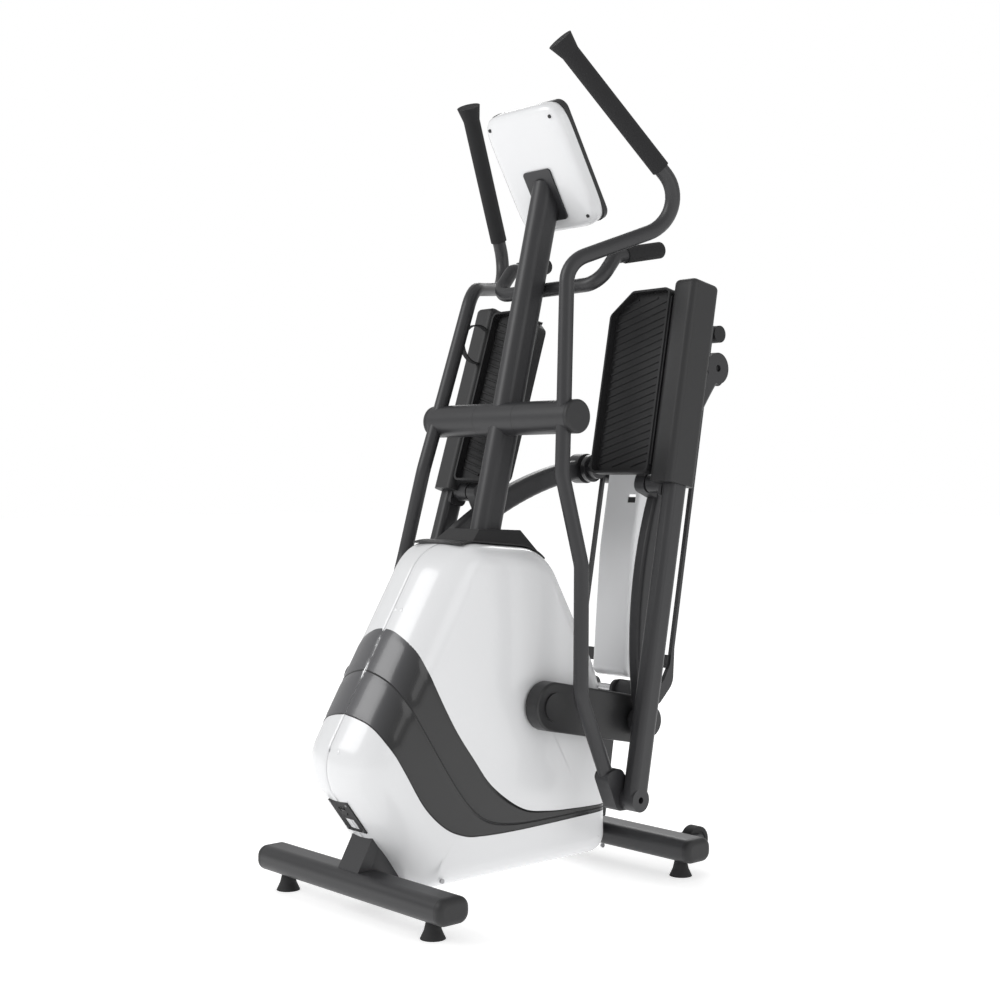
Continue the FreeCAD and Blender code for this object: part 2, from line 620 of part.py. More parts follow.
# ---- drive -----------------------------------------------------------------------------------
def make_drive():
    """Crank axle and pulley, belt, idler, flywheel and magnetic brake."""
    axle = rod(CRANK_AXLE_R, -CRANK_ARM_IN - 8, CRANK_ARM_IN + 8, CRANK)
    parts["crank_axle"] = axle
    width = PULLEY_WIDTH / 2
    disc = ring(PULLEY_R, CRANK_AXLE_R, DRIVE_X - width, DRIVE_X + width, CRANK)
    for side in (-1, 1):
        face = DRIVE_X + side * width
        floor = face - side * 5
        disc = disc.cut(ring(PULLEY_R - 12, 34, min(face, floor), max(face, floor), CRANK))
    parts["drive_pulley"] = disc
    bearings = [ring(BEARING_R, CRANK_AXLE_R + RUN, HUB_HALF - BEARING_LENGTH, HUB_HALF, CRANK)]
    bearings.append(mirrored(bearings[0]))
    parts["crank_bearings"] = Part.makeCompound(bearings)
    rim = ring(FLYWHEEL_R, FLYWHEEL_R - 26, FLYWHEEL_X - FLYWHEEL_WIDTH / 2, FLYWHEEL_X + FLYWHEEL_WIDTH / 2,
               FLYWHEEL)
    web = ring(FLYWHEEL_R - 26, FLYWHEEL_AXLE_R + 6, FLYWHEEL_X - 5, FLYWHEEL_X + 5, FLYWHEEL)
    hub = ring(FLYWHEEL_AXLE_R + 7, FLYWHEEL_AXLE_R + RUN, FLYWHEEL_X - 20, DRIVE_X + width, FLYWHEEL)
    wheel = ring(SMALL_PULLEY_R, FLYWHEEL_AXLE_R + 6, DRIVE_X - width, DRIVE_X + width, FLYWHEEL)
    parts["flywheel"] = fuse(rim, web, hub, wheel)
    pulley_edge = PULLEY_R + GAP
    parts["drive_belt"] = make_belt(pulley_edge, SMALL_PULLEY_R + GAP, width - 2)
    parts["brake_magnet"] = make_brake()


def make_brake():
    """Magnet shoe that straddles the flywheel's rim in front of its axle."""
    rim = FLYWHEEL[0] - FLYWHEEL_R
    side_plate = FLYWHEEL_X - FLYWHEEL_WIDTH / 2 - BRAKE_GAP - BRAKE_PLATE
    outlines = [[(rim - 42, FLYWHEEL[1] + 40, 4), (rim - 42, SPINE_Z1 + 40, 2),
                 (rim + reach, SPINE_Z1 + 40, 2),
                 (rim + reach, FLYWHEEL[1] + 40, 4)] for reach in (12, -12)]
    shoe = fuse(slab(outlines[0], side_plate, side_plate + BRAKE_PLATE),
                slab(outlines[1], side_plate + BRAKE_PLATE, FLYWHEEL_X + 20))
    return shoe.cut(parts["main_frame"])


def belt_loop(big, small):
    """Outline round two circles of the drive, as one face across X at zero."""
    dy, dz = FLYWHEEL[0] - CRANK[0], FLYWHEEL[1] - CRANK[1]
    span = math.hypot(dy, dz)
    heading = math.atan2(dz, dy)
    spread = math.acos((big - small) / span)
    points = []
    for centre, radius, sign in ((CRANK, big, 1), (FLYWHEEL, small, 1), (FLYWHEEL, small, -1),
                                 (CRANK, big, -1)):
        angle = heading + sign * spread
        points.append(vec(0, centre[0] + radius * math.cos(angle), centre[1] + radius * math.sin(angle)))
    near = vec(0, FLYWHEEL[0] + small * math.cos(heading), FLYWHEEL[1] + small * math.sin(heading))
    far = vec(0, CRANK[0] - big * math.cos(heading), CRANK[1] - big * math.sin(heading))
    return Part.Face(Part.Wire([Part.LineSegment(points[0], points[1]).toShape(),
                                Part.Arc(points[1], near, points[2]).toShape(),
                                Part.LineSegment(points[2], points[3]).toShape(),
                                Part.Arc(points[3], far, points[0]).toShape()]))


def make_belt(big, small, half):
    loop = belt_loop(big + BELT_THICK, small + BELT_THICK).extrude(vec(2 * half, 0, 0))
    loop = loop.cut(belt_loop(big, small).extrude(vec(2 * half, 0, 0)))
    return moved(loop, DRIVE_X - half, 0, 0)


def make_cranks():
    """Crank arm in its moulded stadium cover, with a cap on the axle."""
    for name, side in SIDES.items():
        pin = crank_pin(side)
        half = CRANK_ARM_WIDTH / 2
        lean = lean_of(CRANK, pin)
        arm = slab([(-half, -half, half - 0.5), (half, -half, half - 0.5),
                    (half, CRANK_RADIUS + half, half - 0.5), (-half, CRANK_RADIUS + half, half - 0.5)],
                   CRANK_ARM_IN, CRANK_ARM_OUT)
        rims = [e for e in arm.Edges if e.BoundBox.XMin > CRANK_ARM_OUT - 0.1]
        arm = arm.makeFillet(5, rims)
        arm = fuse(arm, rod(24, CRANK_ARM_OUT - 1, CRANK_ARM_OUT + CRANK_BOSS, (0, CRANK_RADIUS)),
                   rod(30, CRANK_ARM_OUT - 1, CRANK_ARM_OUT + CRANK_BOSS, (0, 0)))
        arm = arm.cut(rod(CRANK_AXLE_R, CRANK_ARM_IN - 1, CRANK_ARM_IN + 8))
        parts["crank_arm_" + name] = leaned(handed(arm, side), lean, CRANK)


# ---- rear frame ------------------------------------------------------------------------------
def make_rear_frame():
    """Hinge tube, two curved side rails and the far cross tube; drawn upright, then leaned."""
    back = RAIL_OFFSET
    depth = RAIL_DEPTH / 2
    rail = slab([(-14, -20, 12), (20, -22, 16), (back + 14, 30, 40), (back + depth, 110, 60),
                 (back + depth, FRAME_LENGTH + 14, RAIL_DEPTH * 0.4),
                 (back - depth, FRAME_LENGTH + 14, RAIL_DEPTH * 0.4),
                 (back - depth, 70, 30), (24, 26, 20), (-14, 20, 12)],
                RAIL_X - RAIL_WIDTH / 2, RAIL_X + RAIL_WIDTH / 2)
    tube = rod(HINGE_TUBE_R, -RAIL_X, RAIL_X)
    ear_room = rod(60, -48 - GAP, 48 + GAP)
    far_tube = rod(15, -RAIL_X, RAIL_X, (back, FRAME_LENGTH - 10))
    arms = [slab([(back - 4, FRAME_LENGTH - 20, 8), (back - 4, FRAME_LENGTH + 16, 8),
                  (REST_FOOT_BACK + 12, FRAME_LENGTH + 14, 12),
                  (REST_FOOT_BACK + 12, FRAME_LENGTH - 12, 12)],
                 RAIL_X - 34, RAIL_X - 24)]
    frame = fuse(rail, mirrored(rail), tube, far_tube, arms[0], mirrored(arms[0]))
    frame = frame.cut(ear_room).cut(rod(HINGE_PIN_R + RUN, -200, 200))
    parts["rear_frame"] = leaned(frame, FRAME_LEAN, HINGE)
    foot = rod(REST_FOOT_R, RAIL_X - 24 + GAP, RAIL_X + 6, (REST_FOOT_BACK, FRAME_LENGTH))
    foot = foot.cut(frame)
    parts["rest_feet"] = leaned(Part.makeCompound([foot, mirrored(foot)]), FRAME_LEAN, HINGE)


def make_hinge_pin():
    """Fixed pin through the ears of the base and the hinge tube."""
    pin = rod(HINGE_PIN_R, -RAIL_X + RAIL_WIDTH / 2 + 4, RAIL_X - RAIL_WIDTH / 2 - 4, HINGE)
    parts["hinge_pin"] = pin


def make_rear_cover():
    """White panel on the rear frame, crowned towards the user."""
    outer = slab([(0, 30, 20), (-30, 320, 400), (-30, 560, 400), (-4, 790, 20), (34, 790, 6), (34, 30, 6)],
                 -COVER_HALF, COVER_HALF)
    rims = [e for e in outer.Edges if e.BoundBox.XLength < 0.01 and e.BoundBox.YMin < 20
            and e.BoundBox.YMax < 33]
    outer = outer.makeFillet(8, rims)
    inner = slab([(4, 34, 16), (-26, 322, 396), (-26, 558, 396), (0, 786, 16), (40, 786, 2), (40, 34, 2)],
                 -COVER_HALF + 4, COVER_HALF - 4)
    latch_way = box(20, 44, -60, -14, LATCH_Z - 10, LATCH_Z + 10)
    shell = outer.cut(inner).cut(latch_way)
    stays = [slab([(34, z, 0), (RAIL_OFFSET, z, 0), (RAIL_OFFSET, z + 30, 0), (34, z + 30, 0)],
                  -RAIL_X, RAIL_X) for z in (62, 700)]
    parts["rear_cover"] = leaned(shell, FRAME_LEAN, HINGE)
    stays = [leaned(stay, FRAME_LEAN, HINGE) for stay in stays]
    parts["rear_frame"] = fuse(parts["rear_frame"], *stays)
    latch = box(20 + GAP, 44 - GAP, -29, -18, LATCH_Z - 10 + GAP, LATCH_Z + 10 - GAP - LATCH_TRAVEL)
    parts["fold_latch"] = leaned(latch, FRAME_LEAN, HINGE)


LATCH_Z = 440.0
LATCH_TRAVEL = 6.0
ROLLER_IN = 130.0
ROLLER_OUT = 162.0
CARRIER_X = 163.0


def make_rollers():
    """Flanged track roller, small retaining roller and the carrier plate that holds both."""
    for name, side in SIDES.items():
        rest = REST[name]
        retainer = (RAIL_OFFSET + RAIL_DEPTH / 2 + RETAINER_R + GAP, -4.0)
        offset = (retainer[0] - ROLLER_BACK, retainer[1])
        tread = ring(TREAD_R - GAP, ROLLER_AXLE_R + RUN, ROLLER_IN, ROLLER_OUT - 12)
        flange = ring(FLANGE_R, ROLLER_AXLE_R + RUN, ROLLER_OUT - 12, ROLLER_OUT)
        parts["track_roller_" + name] = leaned(handed(fuse(tread, flange), side), FRAME_LEAN, rest["roller"])
        small = ring(RETAINER_R, 5 + RUN, ROLLER_IN, ROLLER_OUT - 4, offset)
        parts["retaining_roller_" + name] = leaned(handed(small, side), FRAME_LEAN, rest["roller"])
        plate = slab([(-16, -16, 15), (offset[0] + 12, offset[1] - 14, 12),
                      (offset[0] + 12, offset[1] + 12, 12),
                      (-16, 16, 15)], CARRIER_X, CARRIER_X + 5)
        axle = rod(ROLLER_AXLE_R, ROLLER_IN - 4, CARRIER_X + 38)
        head = rod(13, ROLLER_IN - 9, ROLLER_IN - 1)
        spindle = rod(5, ROLLER_IN - 2, CARRIER_X + 2, offset)
        carrier = fuse(plate, axle, head, spindle)
        parts["roller_carrier_" + name] = leaned(handed(carrier, side), FRAME_LEAN, rest["roller"])


# ---- links and pedal arms --------------------------------------------------------------------
LINK_IN = LINK_X - LINK_WIDTH / 2
LINK_OUT = LINK_X + LINK_WIDTH / 2


def arc_band(z0, z1, belly, depth, x0, x1):
    """Curved bar between two stations, bulging towards the front."""
    half = depth / 2
    front = Part.Arc(vec(x0, -half, z0), vec(x0, -belly - half, (z0 + z1) / 2), vec(x0, -half, z1)).toShape()
    rear = Part.Arc(vec(x0, half, z1), vec(x0, half - belly, (z0 + z1) / 2), vec(x0, half, z0)).toShape()
    top = Part.LineSegment(vec(x0, -half, z1), vec(x0, half, z1)).toShape()
    bottom = Part.LineSegment(vec(x0, half, z0), vec(x0, -half, z0)).toShape()
    bar = Part.Face(Part.Wire([front, top, rear, bottom])).extrude(vec(x1 - x0, 0, 0))
    rims = [e for e in bar.Edges if e.BoundBox.XLength < 0.01 and e.BoundBox.ZLength > 100]
    return bar.makeFillet(10, rims)


def make_links():
    """Bowed tube from the crank pin to the roller axle, with a lug for the pedal pivot."""
    for name, side in SIDES.items():
        rest = REST[name]
        bar = arc_band(0, LINK_LENGTH, LINK_BELLY, LINK_DEPTH, LINK_IN, LINK_OUT)
        pin_eye = rod(34, LINK_IN, LINK_OUT)
        roller_eye = rod(ROLLER_EYE_R, LINK_IN, LINK_OUT, (0, LINK_LENGTH))
        lug = slab([(-PEDAL_PIVOT_PROUD - 20, PEDAL_PIVOT_ALONG - 20, 18),
                    (-PEDAL_PIVOT_PROUD + 40, PEDAL_PIVOT_ALONG - 26, 4),
                    (-PEDAL_PIVOT_PROUD + 40, PEDAL_PIVOT_ALONG + 30, 4),
                    (-PEDAL_PIVOT_PROUD - 20, PEDAL_PIVOT_ALONG + 20, 18)], LINK_IN + 3, LINK_OUT - 3)
        hollow = arc_band(0, LINK_LENGTH, LINK_BELLY, LINK_DEPTH - 2 * LINK_WALL, LINK_IN + LINK_WALL,
                          LINK_OUT - LINK_WALL)
        link = fuse(bar.cut(hollow), pin_eye, roller_eye, lug)
        link = link.cut(rod(ROLLER_AXLE_R + RUN, LINK_IN - 1, LINK_OUT + 1, (0, LINK_LENGTH)))
        pivot = (-PEDAL_PIVOT_PROUD, PEDAL_PIVOT_ALONG)
        link = link.cut(rod(PEDAL_PIN_R + RUN, LINK_IN, LINK_OUT + 1, pivot))
        link = link.cut(rod(14, LINK_IN - 1, LINK_OUT + 1))
        bolt = fuse(rod(14, LINK_IN - 2, LINK_OUT), rod(22, LINK_OUT, LINK_OUT + 7))
        parts["link_" + name] = leaned(handed(Part.makeCompound([link, bolt]), side), rest["link_lean"],
                                       rest["pin"])


def tray_block(grow):
    """Foot tray outline with its cut inner corner, in the pedal arm's own directions."""
    far = TRAY_START + TRAY_LENGTH
    wire = Part.makePolygon([vec(TRAY_IN - grow, 0, TRAY_START - grow),
                             vec(TRAY_OUT + grow, 0, TRAY_START - grow),
                             vec(TRAY_OUT + grow, 0, far + grow), vec(TRAY_IN + 62, 0, far + grow),
                             vec(TRAY_IN - grow, 0, far - 52), vec(TRAY_IN - grow, 0, TRAY_START - grow)])
    solid = Part.Face(wire).extrude(vec(0, TRAY_RIM, 0))
    return round_long_edges(solid, 16 + grow, vec(0, 1, 0))


TRAY_BACK = -21.0             # back of the tray, in front of the pedal arm's centre line


def make_pedals():
    """Pedal arm tube with its moulded cover, pivot pin and ribbed foot tray."""
    for name, side in SIDES.items():
        rest = REST[name]
        half = PEDAL_ARM_WIDTH / 2
        post = rounded_post(PEDAL_ARM_WIDTH, PEDAL_ARM_DEPTH, 0, PEDAL_ARM_LENGTH - 20, 14)
        bore = rounded_post(PEDAL_ARM_WIDTH - 2 * PEDAL_ARM_WALL, PEDAL_ARM_DEPTH - 2 * PEDAL_ARM_WALL, 20,
                            PEDAL_ARM_LENGTH - 24, 14 - PEDAL_ARM_WALL)
        tube = moved(post.cut(bore), PEDAL_ARM_X, 0, 0)
        eye = rod(PEDAL_ARM_DEPTH / 2, PEDAL_ARM_X - half, PEDAL_ARM_X + half)
        bush = rod(21, LINK_OUT + 2, PEDAL_ARM_X, (PEDAL_Q_BACK, PEDAL_Q_ALONG))
        pin = rod(PEDAL_PIN_R, LINK_IN + 2, PEDAL_ARM_X, (PEDAL_Q_BACK, PEDAL_Q_ALONG))
        bracket = slab([(-22, PEDAL_Q_ALONG - 32, 8), (PEDAL_Q_BACK + 24, PEDAL_Q_ALONG - 32, 16),
                        (PEDAL_Q_BACK + 24, PEDAL_Q_ALONG + 32, 16), (-22, PEDAL_Q_ALONG + 32, 8)],
                       PEDAL_ARM_X - half - 6, PEDAL_ARM_X - half + 2)
        toe_hole = rod(SWING_PIN_R + RUN, SWING_X, PEDAL_ARM_X + half + 1)
        arm = fuse(tube, eye, bush, pin, bracket).cut(toe_hole)
        parts["pedal_arm_" + name] = leaned(handed(arm, side), rest["arm_lean"], rest["toe"])
        block = box(TRAY_OUT + 4, PEDAL_ARM_X + half + 5, -44, 42, COVER_START, PEDAL_ARM_LENGTH)
        cover = round_long_edges(block,
                                 15, vec(0, 0, 1))
        cover = cover.makeFillet(12, [e for e in cover.Edges if e.BoundBox.ZMin > PEDAL_ARM_LENGTH - 0.1])
        inside = round_long_edges(box(TRAY_OUT + 7, PEDAL_ARM_X + half + 2, -41, 39, COVER_START + 15,
                                      PEDAL_ARM_LENGTH - 18), 12, vec(0, 0, 1))
        cover = cover.cut(moved(post, PEDAL_ARM_X, 0, 0)).cut(bush).cut(bracket).cut(inside)
        parts["pedal_cover_" + name] = leaned(handed(cover, side), rest["arm_lean"], rest["toe"])
        tray = tray_block(0).cut(moved(tray_block(-5), 0, -6, 0))
        far = TRAY_START + TRAY_LENGTH
        tray = fuse(tray, box(TRAY_OUT - 1, TRAY_OUT + 4, 4, TRAY_RIM - 2, TRAY_START + 20, far - 20))
        tray = moved(tray, 0, TRAY_BACK - TRAY_RIM, 0).cut(bush).cut(bracket).cut(tube)
        parts["foot_tray_" + name] = leaned(handed(tray, side), rest["arm_lean"], rest["toe"])
    strap = ring(46, 43, -252, -238, (-60, TRAY_START + 330)).common(
        box(-260, -230, -120, -44, 0, 2000))
    rest = REST["right"]
    parts["storage_strap"] = leaned(strap, rest["arm_lean"], rest["toe"])


# ---- swing arms ------------------------------------------------------------------------------
def swing_path():
    """Bent tube of the left arm, as points about the pivot in its rest position."""
    toe = REST["left"]["toe"]
    y, z = PIVOT
    return [(SWING_X, toe[0] - 36 - y, toe[1] + 34 - z), (SWING_X, 400 - y, 420 - z),
            (SWING_X, 402 - y, 690 - z),
            (206, 376 - y, 880 - z), (204, 384 - y, 1060 - z), (202, 394 - y, 1321 - z),
            (354, 628 - y, 1426 - z), (268, 312 - y, 1752 - z)]


SWING_BENDS = [70, 90, 90, 200, 60, 75]
GRIP_START = 128.0            # from the last bend's corner to the grip's lower end


def swing_turn(side):
    """Turn of an arm about the pivot, from the left arm's rest position."""
    return 0.0 if side > 0 else REST["left"]["swing"] - REST["right"]["swing"]


def set_swing(shape, side):
    copy = handed(shape, side).copy()
    copy.rotate(vec(0, 0, 0), vec(1, 0, 0), -swing_turn(side))
    copy.translate(vec(0, *PIVOT))
    return copy


def make_swing_arms():
    """Sleeve on the cross shaft, bent tube, grip, and the boot that holds the pedal arm."""
    path = swing_path()
    toe = REST["left"]["toe"]
    toe_yz = (toe[0] - PIVOT[0], toe[1] - PIVOT[1])
    tube = bent_tube(path, SWING_TUBE_R, SWING_BENDS, SWING_BORE)
    sleeve_in = PIVOT_HUB_HALF + GAP
    sleeve = fuse(ring(PIVOT_TUBE_R, PIVOT_TUBE_R - 4, sleeve_in, SLEEVE_OUT),
                  ring(PIVOT_TUBE_R - 3, PIVOT_SHAFT_R + RUN, sleeve_in, sleeve_in + 18),
                  ring(PIVOT_TUBE_R - 3, PIVOT_SHAFT_R + RUN, SLEEVE_OUT - 18, SLEEVE_OUT))
    inner_face = SWING_X - 18
    outer_face = PEDAL_ARM_X - PEDAL_ARM_WIDTH / 2 - GAP
    boot = slab([(toe_yz[0] - 66, toe_yz[1] + 58, 14), (toe_yz[0] - 20, toe_yz[1] + 66, 20),
                 (toe_yz[0] + 26, toe_yz[1] + 6, 24), (toe_yz[0] + 12, toe_yz[1] - 26, 22),
                 (toe_yz[0] - 30, toe_yz[1] - 24, 14)], inner_face, outer_face)
    arm = fuse(sleeve, tube.cut(rod(PIVOT_TUBE_R - 4, 0, 400)), boot)
    arm = arm.cut(rod(PIVOT_SHAFT_R + RUN, 0, SLEEVE_OUT + 1))
    grip_start = along3(path[-2], path[-1], GRIP_START)
    direction = (vec(*path[-1]) - vec(*path[-2])).normalize()
    length = (vec(*path[-1]) - grip_start).Length
    grip = Part.makeCylinder(GRIP_R, length, grip_start, direction)
    flare = Part.makeCone(GRIP_R, GRIP_R + 8, 34, grip_start + direction * (length - 30), direction)
    grip = fuse(grip, flare).cut(Part.makeCylinder(SWING_TUBE_R, length, grip_start, direction))
    for name, side in SIDES.items():
        parts["swing_arm_" + name] = set_swing(arm, side)
        parts["hand_grip_" + name] = set_swing(grip, side)


def along3(start, end, distance):
    return vec(*start) + (vec(*end) - vec(*start)).normalize() * distance


def make_pivot():
    """Cross shaft through the mast hub with an end cap each side."""
    parts["pivot_shaft"] = rod(PIVOT_SHAFT_R, -SLEEVE_OUT - 4, SLEEVE_OUT + 4, PIVOT)
    cap = ring(PIVOT_TUBE_R, PIVOT_SHAFT_R, SLEEVE_OUT + GAP, SLEEVE_OUT + 4, PIVOT)
    cap = fuse(cap, rod(PIVOT_TUBE_R, SLEEVE_OUT + 4, PIVOT_HALF, PIVOT))
    cap = cap.makeFillet(6, [e for e in cap.Edges if e.BoundBox.XMin > PIVOT_HALF - 0.1])
    parts["pivot_end_caps"] = Part.makeCompound([cap, mirrored(cap)])


# ---- handlebar and console -------------------------------------------------------------------
BAR_Z = 1292.0
BAR_HALF = 182.0


def make_handlebar():
    """Fixed bar welded behind the mast, turned up to a rubber grip on each side."""
    back = mast_point(BAR_Z) + MAST_DEPTH / 2 / math.cos(math.radians(MAST_LEAN)) + BAR_TUBE_R - BAR_WELD
    half = [(BAR_HALF - 18, back, BAR_Z), (BAR_HALF - 16, back + 50, BAR_Z + 62),
            (BAR_HALF, 700, BAR_Z + 86)]
    path = [(-x, y, z) for x, y, z in reversed(half)] + half
    bar = bent_tube(path, BAR_TUBE_R, [26, 40, 40, 26], BAR_BORE)
    mast_shape = leaned(rounded_post(MAST_WIDTH, MAST_DEPTH, 0, 900, 24), MAST_LEAN, MAST_FOOT)
    parts["fixed_handlebar"] = bar.cut(mast_shape)
    start = along3(half[1], half[2], 28)
    direction = (vec(*half[2]) - vec(*half[1])).normalize()
    length = (vec(*half[2]) - start).Length
    grip = Part.makeCylinder(GRIP_R - 1, length + 6, start, direction)
    grip = grip.makeFillet(6, [e for e in grip.Edges if e.BoundBox.YMin > start.y + length * 0.6
                               and isinstance(e.Curve, Part.Circle)])
    grip = grip.cut(Part.makeCylinder(BAR_TUBE_R, length, start, direction))
    parts["handlebar_grips"] = Part.makeCompound([grip, mirrored(grip)])


CONSOLE_FOOT = (572.0, 1425.0)
CONSOLE_EDGE = 26.0
SCREEN = (150.0, 100.0, 150.0)     # width, height, centre above the foot of the console
BUTTON_R = 9.0
BUTTONS = {"up": (-48.0, 52.0), "start": (0.0, 52.0), "down": (48.0, 52.0)}
BUTTON_TRAVEL = 1.5


def console_plate(y0, y1, inset):
    """Rounded console plate, drawn upright with its foot at the origin, front face towards +Y."""
    half = CONSOLE_WIDTH / 2 - inset
    plate = box(-half, half, y0, y1, inset, CONSOLE_HEIGHT - inset)
    return round_long_edges(plate, CONSOLE_EDGE - inset * 0.5, vec(0, 1, 0))


def set_console(shape):
    copy = shape.copy()
    copy.rotate(vec(0, 0, 0), vec(1, 0, 0), CONSOLE_TILT)
    copy.translate(vec(0, *CONSOLE_FOOT))
    return copy


def make_console():
    """White rear housing, black front bezel, screen, and three buttons."""
    back = console_plate(0, CONSOLE_DEPTH, 0)
    back = back.makeFillet(12, [e for e in back.Edges if e.BoundBox.YMax < 0.1])
    back = back.cut(console_plate(3, CONSOLE_DEPTH + 1, 3).common(
        console_plate(3, CONSOLE_DEPTH + 1, 12)))
    bezel = console_plate(CONSOLE_DEPTH, CONSOLE_DEPTH + 16, 2)
    bezel = bezel.makeFillet(5, [e for e in bezel.Edges if e.BoundBox.YMin > CONSOLE_DEPTH + 15.9])
    width, height, middle = SCREEN
    window = box(-width / 2, width / 2, CONSOLE_DEPTH + 12, CONSOLE_DEPTH + 20, middle - height / 2 + 20,
                 middle + height / 2 + 20)
    bezel = bezel.cut(window)
    face = CONSOLE_DEPTH + 16
    for x, z in BUTTONS.values():
        bezel = bezel.cut(Part.makeCylinder(BUTTON_R + GAP, 9, vec(x, face - 8, z), vec(0, 1, 0)))
    parts["console_housing"] = set_console(back)
    parts["console_bezel"] = set_console(bezel)
    parts["console_screen"] = set_console(box(-width / 2, width / 2, CONSOLE_DEPTH + 12, face - 1,
                                              middle - height / 2 + 20, middle + height / 2 + 20))
    for name, (x, z) in BUTTONS.items():
        button = Part.makeCylinder(BUTTON_R, 7, vec(x, face - 8 + BUTTON_TRAVEL + 0.5, z), vec(0, 1, 0))
        parts["button_" + name] = set_console(button)


# ---- build and export ------------------------------------------------------------------------
def build():
    for make in (make_beams, make_feet, make_wheels, make_main_frame, make_mast, make_case, make_bands,
                 make_inlet, make_drive, make_cranks, make_rear_frame, make_hinge_pin, make_rear_cover,
                 make_rollers, make_links, make_pedals, make_swing_arms, make_pivot, make_handlebar,
                 make_console):
        make()


build()
whole = FreeCAD.BoundBox()
for shape in parts.values():
    whole.add(shape.optimalBoundingBox())
SHIFT = vec(-whole.Center.x, -whole.Center.y, -whole.ZMin)
os.makedirs("parts", exist_ok=True)
for node, shape in parts.items():
    placed = shape.copy()
    placed.translate(SHIFT)
    placed.exportStep("parts/%s.step" % node)
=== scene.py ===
import math

import bpy
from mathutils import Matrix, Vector
from mathutils.bvhtree import BVHTree


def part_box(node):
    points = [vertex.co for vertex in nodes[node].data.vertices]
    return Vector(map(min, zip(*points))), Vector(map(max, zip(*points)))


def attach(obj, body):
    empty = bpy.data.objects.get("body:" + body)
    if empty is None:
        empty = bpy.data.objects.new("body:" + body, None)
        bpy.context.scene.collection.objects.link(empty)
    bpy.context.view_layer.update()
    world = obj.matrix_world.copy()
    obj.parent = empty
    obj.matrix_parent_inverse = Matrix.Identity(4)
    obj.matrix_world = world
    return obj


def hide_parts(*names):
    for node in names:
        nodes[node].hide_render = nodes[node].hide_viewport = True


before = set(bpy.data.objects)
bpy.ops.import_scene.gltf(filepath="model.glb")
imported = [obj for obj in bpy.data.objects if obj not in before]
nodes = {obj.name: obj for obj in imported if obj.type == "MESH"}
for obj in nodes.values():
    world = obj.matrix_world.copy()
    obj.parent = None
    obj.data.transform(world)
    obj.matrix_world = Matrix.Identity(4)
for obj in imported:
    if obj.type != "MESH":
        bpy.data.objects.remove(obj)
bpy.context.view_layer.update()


# Studio: a pale seamless floor under even daylight, with a broad key light on the nose side, a
# weaker fill from the user's left, and a level camera a few metres off the front left corner.
MM = 0.001
FRONT_LINE = (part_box("front_stabiliser")[0].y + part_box("front_stabiliser")[1].y) / 2
FLOOR_HALF = 30.0
DAYLIGHT = 0.62
BACKGROUND = 1.0
FLOOR_GLOW = 0.55
LIGHTS = {"key_light": ((-1.6, -3.4, 3.2), 2.2, 62.0), "fill_light": ((4.4, 0.4, 2.4), 2.6, 26.0),
          "rim_light": ((-2.6, 3.0, 3.0), 2.0, 40.0)}
CAMERA_PLACE = (2.529, -1.897 + FRONT_LINE, 0.87)
CAMERA_AZIMUTH = 47.9
CAMERA_LENS = 56.45
CAMERA_SHIFT = -0.021
MIDDLE = Vector((0.0, 0.0, 0.8))

studio = bpy.context.scene
studio.view_settings.view_transform = "Standard"
world = bpy.data.worlds.new("studio_air")
studio.world = world
world.use_nodes = True
sky = world.node_tree.nodes["Background"]
sky.inputs["Color"].default_value = (1.0, 1.0, 1.0, 1.0)
seen = world.node_tree.nodes.new("ShaderNodeLightPath")
brightness = world.node_tree.nodes.new("ShaderNodeMapRange")
brightness.inputs["To Min"].default_value = DAYLIGHT
brightness.inputs["To Max"].default_value = BACKGROUND
world.node_tree.links.new(seen.outputs["Is Camera Ray"], brightness.inputs["Value"])
world.node_tree.links.new(brightness.outputs["Result"], sky.inputs["Strength"])

for name, (place, size, power) in LIGHTS.items():
    lamp = bpy.data.lights.new(name, "AREA")
    lamp.size = size
    lamp.energy = power
    lamp_object = bpy.data.objects.new(name, lamp)
    studio.collection.objects.link(lamp_object)
    lamp_object.location = place
    lamp_object.rotation_euler = (MIDDLE - Vector(place)).to_track_quat("-Z", "Y").to_euler()

floor_mesh = bpy.data.meshes.new("studio_floor")
floor_corners = [(x * FLOOR_HALF, y * FLOOR_HALF, 0.0) for x, y in ((-1, -1), (1, -1), (1, 1), (-1, 1))]
floor_mesh.from_pydata(floor_corners, [], [(0, 1, 2, 3)])
floor = bpy.data.objects.new("studio_floor", floor_mesh)
studio.collection.objects.link(floor)
floor_paper = bpy.data.materials.new("floor_paper")
floor_paper.use_nodes = True
paper = floor_paper.node_tree.nodes["Principled BSDF"].inputs
paper["Base Color"].default_value = (0.8, 0.8, 0.8, 1.0)
paper["Roughness"].default_value = 0.7
paper["Emission Color"].default_value = (1.0, 1.0, 1.0, 1.0)
paper["Emission Strength"].default_value = FLOOR_GLOW
floor_mesh.materials.append(floor_paper)

lens = bpy.data.cameras.new("camera")
lens.lens = CAMERA_LENS
lens.shift_y = CAMERA_SHIFT
camera = bpy.data.objects.new("camera", lens)
studio.collection.objects.link(camera)
camera.location = CAMERA_PLACE
camera.rotation_euler = (math.radians(90.0), 0.0, math.radians(CAMERA_AZIMUTH))
studio.camera = camera


